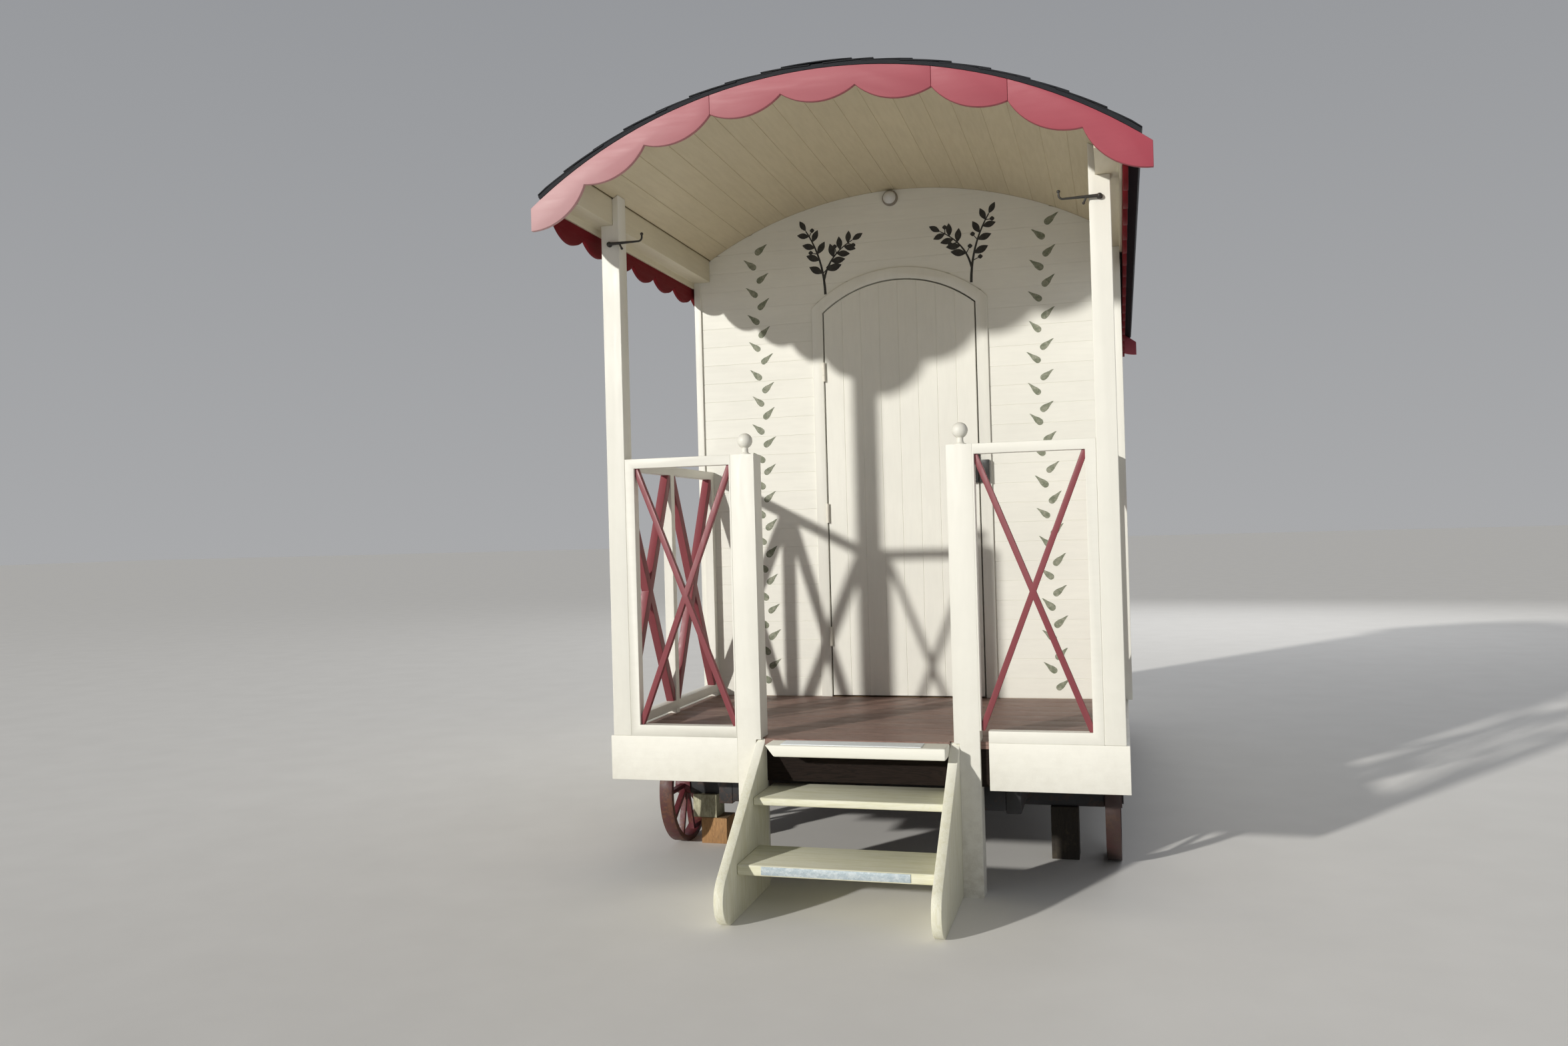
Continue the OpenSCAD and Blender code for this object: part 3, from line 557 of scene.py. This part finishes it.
def prism(bm, outline, place, depth, ease=0.0, segments=1):
    """A flat outline pushed out by depth. place(u, v, w) maps outline and depth to the row frame.
    The edges of the w = 0 face are eased."""
    tag(bm, [], 0.0)
    points = without_repeats(outline)
    near = [bm.verts.new(place(u, v, 0.0)) for u, v in points]
    far = [bm.verts.new(place(u, v, depth)) for u, v in points]
    faces = [bm.faces.new(near), bm.faces.new(far[::-1])]
    for i in range(len(points)):
        j = (i + 1) % len(points)
        faces.append(bm.faces.new((near[j], near[i], far[i], far[j])))
    value = rnd.random()
    tag(bm, faces, value)
    bmesh.ops.recalc_face_normals(bm, faces=faces)
    if ease > 0:
        result = bmesh.ops.bevel(bm, geom=list(faces[0].edges), offset=ease, offset_type="OFFSET",
                                 segments=segments, profile=0.6, affect="EDGES", clamp_overlap=True)
        tag(bm, result["faces"], value)


def round_piece(bm, centre, profile, n):
    """A turned shape about an axis along -Y: profile is (radius, distance out from centre)."""
    tag(bm, [], 0.0)
    rings = []
    for r, out in profile:
        spokes = [2 * math.pi * i / n for i in range(n)] if r > 0 else [0.0]
        places = [(centre[0] + r * math.cos(a), centre[1] - out, centre[2] + r * math.sin(a)) for a in spokes]
        rings.append([bm.verts.new(p) for p in places])
    faces = []
    for a, b in zip(rings, rings[1:]):
        for i in range(n):
            j = (i + 1) % n
            # Where a ring is one point, the corner that comes twice is kept once
            corners = (a[i % len(a)], a[j % len(a)], b[j % len(b)], b[i % len(b)])
            faces.append(bm.faces.new(tuple(dict.fromkeys(corners))))
    bmesh.ops.recalc_face_normals(bm, faces=faces)


def thin(points):
    """Drops points that lie on the straight line between their neighbours."""
    out = [points[0]]
    for (xb, yb), (xc, yc) in zip(points[1:], points[2:]):
        xa, ya = out[-1]
        if abs((xb - xa) * (yc - ya) - (xc - xa) * (yb - ya)) > 1e-9:
            out.append((xb, yb))
    out.append(points[-1])
    return out


def strips(z0, z1, lower, upper, n, jumps=()):
    """Outlines of one board course across the hut between z0 and z1, cut by a lower and an upper curve.
    The curves are looked up at n steps, and just beside each of the jumps."""
    least_height = 0.0015
    least_length = 0.004
    beside = 0.00005
    steps = [-WALL_HALF + 2 * WALL_HALF * i / n for i in range(n + 1)]
    xs = sorted(steps + [j + e for j in jumps for e in (-beside, beside)])

    def span(x):
        return max(z0, lower(x)), min(z1, upper(x))

    def tall(x):
        low, high = span(x)
        return high - low > least_height

    def brink(inside, outside):
        """The place between them where the course becomes too low to build."""
        for _ in range(24):
            middle = (inside + outside) / 2
            if tall(middle):
                inside = middle
            else:
                outside = middle
        return inside

    runs, run = [], []
    for i, x in enumerate(xs):
        if tall(x):
            if not run and i > 0:
                run.append(brink(x, xs[i - 1]))
            run.append(x)
        elif run:
            runs.append(run + [brink(xs[i - 1], x)])
            run = []
    if run:
        runs.append(run)
    return [thin([(x, span(x)[0]) for x in run]) + thin([(x, span(x)[1]) for x in run])[::-1]
            for run in runs if run[-1] - run[0] >= least_length]


def on_bow(a, r):
    """The point (x, z) at angle a from the ridge and radius r of the roof's bow."""
    return r * math.sin(a), ARC_Z + r * math.cos(a)


def under_roof(x):
    """The underside of the ceiling."""
    return ARC_Z + math.sqrt(max(0.0, (R_IN - CLEAR) ** 2 - x * x))


def floor_line(x):
    """The lower edge of the back wall."""
    return DECK


def round_door(x):
    """The lower edge of the front wall: the deck, and over the door the back of the frame's arch."""
    half = OPEN_HALF + JAMB
    radius = OPEN_R + JAMB + HAIR
    if abs(x) >= half:
        return DECK
    spring = OPEN_Z + math.sqrt(radius ** 2 - half ** 2)
    return max(spring, OPEN_Z + math.sqrt(radius ** 2 - x * x))


# Walls, ceiling, roof and floors

def courses():
    """Bottom and top of each board across a wall, from the deck up to the ridge."""
    k = 0
    while DECK + k * PITCH < ARC_Z + R_IN:
        yield DECK + k * PITCH, DECK + (k + 1) * PITCH
        k += 1


def end_wall(name, nodes, lower, y_out, y_in, mat, lining, jumps=()):
    """A wall across the hut: boards outside, a plain middle and boards inside."""
    board_steps = 72
    core_steps = 96
    inward = 1 if y_in > y_out else -1
    core = abs(y_in - y_out) - 2 * BOARD_T
    for kind, face, d, m in (("boards", y_out, inward, mat), ("lining", y_in, -inward, lining)):
        bm = bmesh.new()
        for z0, z1 in courses():
            for outline in strips(z0, z1, lower, under_roof, board_steps, jumps):
                prism(bm, outline, lambda u, v, w: (u, face + d * w, v), BOARD_T, BOARD_EASE)
        if kind == "boards":
            for outline in strips(DECK, ARC_Z + R_OUT, lower, under_roof, core_steps, jumps):
                prism(bm, outline, lambda u, v, w: (u, y_out + inward * (BOARD_T + w), v), core)
        finish_mesh(f"{name}_{kind}", bm, m, "hut", nodes)


def side_wall(name, node, x_out, x_in, mat, lining):
    """A wall along the hut, between the end walls, made as they are."""
    least_height = 0.004
    lo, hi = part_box(node)
    inward = 1 if x_in > x_out else -1
    core = abs(x_in - x_out) - 2 * BOARD_T

    def upright(z0, z1):
        return [(lo.y, z0), (hi.y, z0), (hi.y, z1), (lo.y, z1)]

    for kind, face, d, m in (("boards", x_out, inward, mat), ("lining", x_in, -inward, lining)):
        bm = bmesh.new()
        roof = under_roof(max(abs(face), abs(face + d * BOARD_T)))
        for z0, z1 in courses():
            if min(z1, roof) - z0 > least_height:
                prism(bm, upright(z0, min(z1, roof)), lambda u, v, w: (face + d * w, u, v),
                      BOARD_T, BOARD_EASE)
        if kind == "boards":
            prism(bm, upright(DECK, under_roof(x_out)),
                  lambda u, v, w: (x_out + inward * (BOARD_T + w), u, v), core)
        finish_mesh(f"{name}_{kind}", bm, m, "hut", (node,))


def ceiling(mat):
    """Boards along the hut, laid round the bow, with a V at each joint and an open one by each beam."""
    lo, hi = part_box("ceiling")
    beam_w = 0.097
    cut = 0.0024
    cut_angle = cut / R_IN
    gap_angle = 0.0028
    joints = (3.0, 2.1)
    eave = math.asin(hi.x / R_OUT)
    beam = math.asin((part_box("eave_beams")[1].x - beam_w) / R_IN)
    count = round(2 * beam * R_IN / CEILING_PITCH)
    step = 2 * beam / count
    edges = [-eave] + [-beam + k * step for k in range(count + 1)] + [eave]
    bm = bmesh.new()
    for k, (a0, a1) in enumerate(zip(edges, edges[1:])):
        if k == 1:
            a0 += gap_angle
        if k == count:
            a1 -= gap_angle
        middle = (a0 + a1) / 2
        corners = ((a0, R_OUT), (middle, R_OUT), (a1, R_OUT), (a1, R_IN + cut), (a1 - cut_angle, R_IN),
                   (middle, R_IN), (a0 + cut_angle, R_IN), (a0, R_IN + cut))
        outline = [on_bow(a, r) for a, r in corners]
        ends = (lo.y, lo.y + joints[k % 2], hi.y)
        for ya, yb in zip(ends, ends[1:]):
            prism(bm, outline, lambda u, v, w: (max(-hi.x, min(hi.x, u)), ya + w, v), yb - ya)
    finish_mesh("ceiling_boards", bm, mat, "hut", ("ceiling",))


def shingle_base(bm, half, y0, y1):
    """The thin sheet under the shingles, a little short of them at both ends."""
    n = 60
    inset = 0.004
    base_t = 0.015
    edge = math.asin(half / FELT_R)
    low_r = R_OUT + CLEAR
    angles = [-edge + 2 * edge * i / n for i in range(n + 1)]
    outline = [on_bow(a, low_r) for a in angles] + [on_bow(a, low_r + base_t) for a in angles[::-1]]
    prism(bm, outline, lambda u, v, w: (max(-half, min(half, u)), y0 + inset + w, v), y1 - y0 - 2 * inset)


def shingle(bm, half, side, a_low, a_high, ya, yb):
    """One bent tab, thick at its lower edge, which lies on the course below."""
    m = 4
    felt = 0.0044
    head_r = FELT_R + 0.0035
    butt_r = FELT_R + 0.0105 + rnd.uniform(-0.0012, 0.0008)
    skew = rnd.uniform(-0.0014, 0.0014)
    rows = []
    for i in range(m + 1):
        t = i / m
        a = a_low + (a_high - a_low) * t + skew * (1 - t) / FELT_R
        rows.append((a, butt_r + (head_r - butt_r) * t))
    outline = [on_bow(side * a, r) for a, r in rows] + [on_bow(side * a, r - felt) for a, r in rows[::-1]]
    prism(bm, outline, lambda u, v, w: (max(-half, min(half, u)), ya + w, v), yb - ya)


def shingle_courses(bm, half, y0, y1):
    """Lapped courses from both eaves up to the ridge, every other one shifted by half a tab."""
    exposed = 0.145
    lap = 0.045
    tab = 0.3329
    gap = 0.0025
    ridge = 0.10
    narrowest = 0.03
    edge = math.asin(half / FELT_R)
    count = int((edge * FELT_R - ridge) / exposed) + 1
    for side in (-1, 1):
        for k in range(count):
            a_low = edge - k * exposed / FELT_R
            a_high = max(0.0, a_low - (exposed + lap) / FELT_R)
            y = y0 - (tab / 2 if k % 2 else 0.0)
            while y < y1:
                ya, yb = max(y0, y + gap), min(y1, y + tab - gap)
                if yb - ya >= narrowest:
                    shingle(bm, half, side, a_low, a_high, ya, yb)
                y += tab


def ridge_caps(bm, y0, y1):
    """Bent caps over the ridge, each lifted at its front end by the one before."""
    m = 8
    shown = 0.22
    lap = 0.05
    tilt = 0.0035
    felt = 0.0036
    shortest = 0.02
    cap_r = FELT_R + 0.0085
    spread = 0.135 / FELT_R
    angles = [-spread + 2 * spread * i / m for i in range(m + 1)]
    outline = [(a, cap_r) for a in angles] + [(a, cap_r - felt) for a in angles[::-1]]
    y = y0
    while y < y1 - shortest:
        length = min(y1, y + shown + lap) - y

        def place(a, r, w):
            u, v = on_bow(a, min(r + tilt * (1 - w / length), ROOF_R))
            return u, y + w, v

        prism(bm, outline, place, length)
        y += shown


def shingles(mat):
    """Courses of felt shingles from the eaves up to a capped ridge, on a thin base."""
    lo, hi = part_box("roof_covering")
    bm = bmesh.new()
    shingle_base(bm, hi.x, lo.y, hi.y)
    shingle_courses(bm, hi.x, lo.y, hi.y)
    ridge_caps(bm, lo.y, hi.y)
    finish_mesh("roof_shingles", bm, mat, "hut", ("roof_covering",), 25.0)


def deck_boards(mat):
    """Boards across the porch. The first is notched round both newels and reaches forward between them."""
    count = 9
    joint = 0.0035
    ease = 0.0025
    fit = 0.0003
    lo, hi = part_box("deck")
    newel_lo, newel_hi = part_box("newel_right")
    near, far, back = newel_lo.x - fit, newel_hi.x + fit, newel_hi.y + fit
    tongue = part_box("step_treads")[1].x
    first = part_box("front_fascias")[1].y
    step = (hi.y - first) / count
    bm = bmesh.new()

    def flat(u, v, w):
        return (u, v, DECK - w)

    right = [(tongue, FRONT), (tongue, first), (near, first), (near, back), (far, back), (far, first),
             (hi.x, first), (hi.x, first + step - joint)]
    prism(bm, right + [(-u, v) for u, v in right[::-1]], flat, DECK - lo.z, ease)
    for k in range(1, count):
        ya = first + k * step
        yb = ya + step - joint
        prism(bm, [(-hi.x, ya), (hi.x, ya), (hi.x, yb), (-hi.x, yb)], flat, DECK - lo.z, ease, segments=2)
    finish_mesh("deck_boards", bm, mat, "hut", ("deck",))


def floor_boards(mat):
    """Boards along the cabin."""
    count = 17
    joint = 0.0015
    ease = 0.0015
    lo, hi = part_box("cabin_floor")
    step = (hi.x - lo.x) / count
    bm = bmesh.new()
    for k in range(count):
        xa = lo.x + k * step
        xb = xa + step - joint
        prism(bm, [(xa, lo.y), (xb, lo.y), (xb, hi.y), (xa, hi.y)],
              lambda u, v, w: (u, v, hi.z - w), hi.z - lo.z, ease)
    finish_mesh("cabin_floor_boards", bm, mat, "hut", ("cabin_floor",))


def door_leaf(mat):
    """Vertical boards on both faces of the leaf, on a core a hair smaller, under the arched head."""
    count = 8
    board_t = 0.020
    ease = 0.0018
    radius = OPEN_R - LEAF_GAP
    lo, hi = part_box("door_leaf")
    step = 2 * hi.x / count
    bm = bmesh.new()

    def arched(xa, xb, n, less=0.0):
        head = [xb + (xa - xb) * i / n for i in range(n + 1)]
        return ([(xa, lo.z + less), (xb, lo.z + less)]
                + [(x, OPEN_Z + math.sqrt(radius ** 2 - x * x) - less) for x in head])

    for k in range(count):
        outline = arched(-hi.x + k * step, -hi.x + (k + 1) * step, 6)
        prism(bm, outline, lambda u, v, w: (u, lo.y + w, v), board_t, ease)
        prism(bm, outline, lambda u, v, w: (u, hi.y - w, v), board_t, ease)
    core = arched(-hi.x + HAIR, hi.x - HAIR, 40, HAIR)
    prism(bm, core, lambda u, v, w: (u, lo.y + board_t + w, v), hi.y - lo.y - 2 * board_t)
    finish_mesh("door_boards", bm, mat, "door", ("door_leaf",))


# Painted decoration on the front wall

def on_wall(bm, outline, depth):
    """A patch of paint on the front wall."""
    prism(bm, outline, lambda u, v, w: (u, WALL - depth + w, v), depth)


def turned(points, x, z, angle):
    ca, sa = math.cos(angle), math.sin(angle)
    return [(x + u * ca - v * sa, z + u * sa + v * ca) for u, v in points]


def teardrop(bm, x, z, length, width, angle):
    """A stencilled leaf: a round foot, a waist above it and a curved pointed tip."""
    n = 9
    half = width / 2
    foot = [(half * math.cos(a), -half * math.sin(a)) for a in (math.pi * i / (n - 1) for i in range(n))]
    body = ((0.16, 0.98), (0.30, 0.88), (0.44, 0.66), (0.60, 0.44), (0.76, 0.29), (0.90, 0.16))
    bend = -0.10 * width * (1 if angle > 0 else -1)
    left = [(-half * k + bend * t * 2, length * t) for t, k in body]
    right = [(half * k + bend * t * 2, length * t) for t, k in body[::-1]]
    on_wall(bm, turned(foot + left + [(bend * 2.6, length)] + right, x, z, angle), 0.0006)


def along(path, z):
    """The x of a path of (z, x) points at height z."""
    for (za, xa), (zb, xb) in zip(path, path[1:]):
        if z <= zb:
            return xa + (xb - xa) * max(0.0, z - za) / (zb - za)
    return path[-1][1]


def leaf_trails(mat):
    """Two wavering trails of leaf pairs, drawn from the top down. Each has a path of (z, x) points, the
    heights of its first right and left leaf, and the pitch of its pairs."""
    left_path = ((0.65, -0.712), (1.70, -0.717), (2.10, -0.711), (2.60, -0.728), (2.90, -0.733))
    right_path = ((0.65, 0.722), (1.20, 0.722), (1.60, 0.708), (2.05, 0.682), (2.50, 0.702), (2.90, 0.730))
    trails = ((left_path, 2.873, 2.798, 0.1415), (right_path, 2.891, 2.825, 0.1494))
    pairs = 16
    lean = 43
    out = 0.012
    lowest = DECK + 0.035
    bm = bmesh.new()
    for path, top_right, top_left, pitch in trails:
        for k in range(pairs):
            for top, side in ((top_right, 1), (top_left, -1)):
                z = top - k * pitch + rnd.uniform(-0.004, 0.004)
                x = along(path, z) + side * out + rnd.uniform(-0.003, 0.003)
                if z >= lowest:
                    length, width = rnd.uniform(0.061, 0.068), rnd.uniform(0.029, 0.034)
                    teardrop(bm, x, z + 0.005, length, width, math.radians(-side * lean + rnd.uniform(-5, 5)))
    finish_mesh("leaf_trails", bm, mat, "hut")


def ribbon(bm, points, widths, depth):
    """A stroke along points, as wide as widths says at each."""
    left, right = [], []
    for i, (x, z) in enumerate(points):
        a = points[max(0, i - 1)]
        b = points[min(len(points) - 1, i + 1)]
        d = Vector((b[0] - a[0], b[1] - a[1])).normalized()
        w = widths[i] / 2
        left.append((x - d.y * w, z + d.x * w))
        right.append((x + d.y * w, z - d.x * w))
    on_wall(bm, left + right[::-1], depth)


def oval_leaf(bm, x, z, length, width, angle, depth):
    """A leaf with two pointed ends, or a berry where it is as wide as long."""
    n = 8
    right = [(width / 2 * math.sin(math.pi * i / n), length * i / n) for i in range(n + 1)]
    left = [(-u, v) for u, v in right[-2:0:-1]]
    on_wall(bm, turned(right + left, x, z, angle), depth)


def curve(a, b, c, n=11):
    """Points on a bent line from a to c that is drawn towards b."""
    return [tuple((1 - t) ** 2 * p + 2 * t * (1 - t) * q + t * t * r for p, q, r in zip(a, b, c))
            for t in (i / (n - 1) for i in range(n))]


def heading(a, b):
    """The angle of the way from a to b, measured from upright."""
    return math.atan2(b[1] - a[1], b[0] - a[0]) - math.pi / 2


def branch(bm, stem, thick, first, near, sizes, outside, depth):
    """A tapered stem with leaves from its point number first, and a berry at every third. Before number
    near, where the fork is narrow, leaves grow on the outside only."""
    taper = 0.007
    slim = 0.46
    leaf_turn = math.radians(52)
    berry_turn = math.radians(58)
    berry = 0.024
    stalk = (0.005, 0.004, 0.004)
    tip = (0.062, 0.028)
    last = len(stem) - 1
    ribbon(bm, stem, [thick - taper * i / last for i in range(last + 1)], depth())
    for i in range(first, last):
        x, z = stem[i]
        way = heading(stem[i - 1], stem[i + 1])
        side = 1 if i % 2 else -1
        size = sizes[0] + (sizes[1] - sizes[0]) * i / last
        if side == outside or i >= near:
            oval_leaf(bm, x, z, size, size * slim, way + side * leaf_turn, depth())
        if i % 3 == 0:
            away = way - side * berry_turn
            bx, bz = x - math.sin(away) * size * 0.5, z + math.cos(away) * size * 0.5
            ribbon(bm, [(x, z), ((x + bx) / 2, (z + bz) / 2), (bx, bz)], stalk, depth())
            oval_leaf(bm, bx, bz - 0.011, berry, berry, 0.0, depth())
    oval_leaf(bm, *stem[last], *tip, heading(stem[last - 1], stem[last]), depth())


def sprigs(mat):
    """A forked leafy sprig with berries on each side over the door, mirrored. Each stroke is a little
    thicker than the last, so that no two lie in one plane."""
    foot = DECK + 2.030
    outer = curve((0.368, 0.005), (0.372, 0.190), (0.462, 0.335))
    inner = curve((0.372, 0.080), (0.345, 0.205), (0.222, 0.268))
    bm = bmesh.new()
    for s in (-1, 1):
        strokes = iter(range(1, 100))

        def depth():
            return 0.0005 + 0.00003 * next(strokes)

        branch(bm, [(s * u, foot + v) for u, v in outer], 0.013, 3, 6, (0.088, 0.062), -s, depth)
        branch(bm, [(s * u, foot + v) for u, v in inner], 0.011, 2, 5, (0.086, 0.060), s, depth)
    finish_mesh("door_sprigs", bm, mat, "hut")


# Small pieces

def porch_light(glass, rim, cap):
    """A round light: a stepped rim on the wall, a ribbed dome and the bulb's cap in it."""
    ribs = 9
    rim_t = 0.019
    seat = rim_t - CLEAR
    lo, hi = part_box("porch_light")
    centre = ((lo.x + hi.x) / 2, WALL, (lo.z + hi.z) / 2)
    r = (hi.x - lo.x) / 2
    dome_r = r * 0.80
    depth = hi.y - lo.y
    base = bmesh.new()
    round_piece(base, centre, [(0.0, 0.0), (r, 0.0), (r, 0.009), (r * 0.95, 0.012), (r * 0.88, 0.013),
                               (r * 0.86, 0.018), (dome_r, rim_t), (0.0, rim_t)], 40)
    finish_mesh("light_base", base, rim, "hut", ("porch_light",))
    profile = [(dome_r, seat)]
    for i in range(1, ribs):
        a = math.pi / 2 * i / ribs
        rib = 0.0012 if i % 2 else 0.0
        profile.append(((dome_r + rib) * math.cos(a), seat + (depth - rim_t) * math.sin(a)))
    dome = bmesh.new()
    round_piece(dome, centre, profile + [(0.0, depth - 0.0003)], 40)
    finish_mesh("light_dome", dome, glass, "hut", ("porch_light",))
    bulb = bmesh.new()
    round_piece(bulb, centre, [(0.0, 0.0195), (0.009, 0.0195), (0.010, 0.028), (0.012, 0.033),
                               (0.009, 0.038), (0.0, 0.040)], 24)
    finish_mesh("light_bulb", bulb, cap, "hut")


def screw_heads(mat):
    """Round heads near the corners of the lock case. The knob stands out of the case's face."""
    knob_out = 0.030
    lo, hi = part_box("door_lock")
    face = lo.y + knob_out
    profile = [(0.0045, -0.0005), (0.0045, 0.0008), (0.0030, 0.0016), (0.0, 0.0018)]
    bm = bmesh.new()
    for x, z in ((lo.x + 0.010, lo.z + 0.012), (hi.x - 0.010, lo.z + 0.012), (lo.x + 0.010, hi.z - 0.014),
                 (hi.x - 0.012, hi.z - 0.036)):
        round_piece(bm, (x, face, z), profile, 16)
    finish_mesh("lock_screws", bm, mat, "door")


def soften(o, width):
    """Eases the edges of a CAD node with modifiers, which leave its mesh as it is."""
    weld = o.modifiers.new("weld", "WELD")
    weld.merge_threshold = 0.00002
    flat = o.modifiers.new("flat", "DECIMATE")
    flat.decimate_type = "DISSOLVE"
    flat.angle_limit = math.radians(1.0)
    eased = o.modifiers.new("eased", "BEVEL")
    eased.width = width
    eased.segments = 2
    eased.limit_method = "ANGLE"
    eased.angle_limit = math.radians(35)
    eased.harden_normals = True
    for p in o.data.polygons:
        p.use_smooth = True


def dress(mat, width, *nodes):
    """Gives CAD nodes their material, and eases their edges where width isn't 0."""
    for node in nodes:
        o = NODES[node]
        o.data.materials.clear()
        o.data.materials.append(mat)
        if width:
            soften(o, width)


# Finishes of the CAD nodes that stay

def dress_timber():
    white = (0.83, 0.815, 0.735)
    white_x = paint("white_paint_x", white, "x", dirt=0.35, worn=0.2, grain=0.4)
    white_y = paint("white_paint_y", white, "y", dirt=0.35, worn=0.2, grain=0.4)
    white_z = paint("white_paint_z", white, "z", dirt=0.4, worn=0.2, grain=0.4)
    red = paint("brace_red", (0.243, 0.050, 0.061), "z", dirt=0.12, rough=0.40, worn=0.15)
    valance_x = paint("valance_red_x", (0.375, 0.058, 0.084), "x", rough=0.5, pale=(0.56, 0.330, 0.335),
                      grain=0.6)
    # Side valances: a deeper red that has faded less, painted darker still as painted shade
    valance_shaded_y = paint("valance_red_painted_shade_y", (0.150, 0.008, 0.012), "y", rough=0.6, gloss=0.12)
    # Eave beams: cream paint, painted darker and yellower as painted shade
    beam = paint("beam_paint_and_shade", (0.70, 0.64, 0.48), "y", rough=0.4, grain=0.6)
    # Floor frame: painted near black as painted shade under the deck
    frame_shade = timber("frame_wood_painted_shade", (0.018, 0.011, 0.008), (0.009, 0.006, 0.004), "x", 0.3, rough=0.75,
                   gloss=0.15)
    pine_x = timber("step_pine_x", (0.94, 0.925, 0.75), (0.88, 0.865, 0.66), "x", 0.6,
                    streak=(0.60, 0.58, 0.36))
    pine_z = timber("step_pine_z", (0.94, 0.925, 0.77), (0.87, 0.855, 0.67), "z", 0.6,
                    streak=(0.64, 0.61, 0.42))
    dress(valance_x, 0.0016, "front_valance", "back_valance")
    dress(valance_shaded_y, 0.0016, "side_valances")
    dress(white_x, 0.002, "front_fascias", "front_rails")
    dress(white_y, 0.002, "side_fascias", "side_rails_left", "side_rails_right")
    dress(white_z, 0.003, "outer_post_left", "outer_post_right", "newel_left", "newel_right")
    dress(red, 0.0015, "front_braces", "side_braces")
    dress(beam, 0.002, "eave_beams")
    dress(frame_shade, 0.0, "floor_frame")
    dress(pine_x, 0.006, "step_treads")
    dress(pine_z, 0.003, "step_cheeks")
    dress(pier_mat(), 0.003, "piers")


def dress_metal(lock):
    chassis = iron("chassis_paint", (0.022, 0.022, 0.024), 0.5, 0.0, 0.18, 0.4)
    dress(chassis, 0.003, "chassis_rails", "cross_members")
    dress(chassis, 0.002, "front_axle", "rear_axle")
    dress(wheel_mat(), 0.002, "front_wheels", "rear_wheels")
    dress(metal_mat("grip_strip", (0.46, 0.55, 0.60), 0.38, (0.70, 0.75, 0.76)), 0.0008, "tread_grips")
    hinge = paint("hinge_paint", (0.78, 0.75, 0.65), "z", rough=0.38, worn=0.35)
    dress(hinge, 0.0, "frame_hinges", "leaf_hinges")
    dress(iron("hook_black", (0.045, 0.043, 0.038), 0.38, 0.3, 0.15, 0.7), 0.0, "hooks")
    dress(lock, 0.0012, "door_lock", "lock_keep")


camera()
studio()

cream = (0.825, 0.815, 0.74)
inside = (0.78, 0.76, 0.68)
cream_x = paint("cream_boards_x", cream, "x", dirt=0.22, grain=0.6)
cream_y = paint("cream_boards_y", cream, "y", dirt=0.22, grain=0.6)
cream_z = paint("cream_boards_z", cream, "z", dirt=0.3, grain=0.6)
lining_x = paint("lining_x", inside, "x")
lining_y = paint("lining_y", inside, "y")
lock_mat = iron("lock_enamel", (0.045, 0.046, 0.044), 0.35, 0.2, 0.1, 0.15)
dress_timber()
dress_metal(lock_mat)
dress(cream_z, 0.0015, "corner_boards")
dress(cream_z, 0.0025, "door_frame")

# Pieces that replace nodes or lie on them, in the order of their random draws
end_wall("front", ("front_wall_left", "front_wall_head", "front_wall_right"), round_door, WALL, WALL + WALL_T,
         cream_x, lining_x, (-OPEN_HALF - JAMB, OPEN_HALF + JAMB))
end_wall("back", ("back_wall",), floor_line, BACK, BACK - WALL_T, cream_x, lining_x)
side_wall("left", "side_wall_left", -WALL_HALF, -WALL_HALF + WALL_T, cream_y, lining_y)
side_wall("right", "side_wall_right", WALL_HALF, WALL_HALF - WALL_T, cream_y, lining_y)
# Ceiling: beige paint, painted darker and yellower as painted shade and bounce light
ceiling(paint("ceiling_paint_and_shade", (0.63, 0.545, 0.37), "y", rough=0.38))
shingles(shingle_mat())
deck_boards(timber("deck_stain", (0.265, 0.160, 0.128), (0.160, 0.094, 0.076), "x", 0.25, rough=0.5,
                   stain=(0.300, 0.215, 0.180)))
floor_boards(timber("floor_wood", (0.40, 0.27, 0.15), (0.27, 0.165, 0.085), "y", 0.5, rough=0.45))
door_leaf(cream_z)
leaf_trails(stencil_mat("stencil_leaf", (0.165, 0.185, 0.120), 0.45))
sprigs(stencil_mat("stencil_sprig", (0.020, 0.019, 0.017), 0.05))
# The light's rim is painted dark as painted shade round the light
porch_light(glass_mat(), paint("light_rim_painted_shade", (0.30, 0.27, 0.22), "z"),
            metal_mat("bulb_cap", (0.12, 0.11, 0.10), 0.3, (0.20, 0.19, 0.18)))
screw_heads(lock_mat)
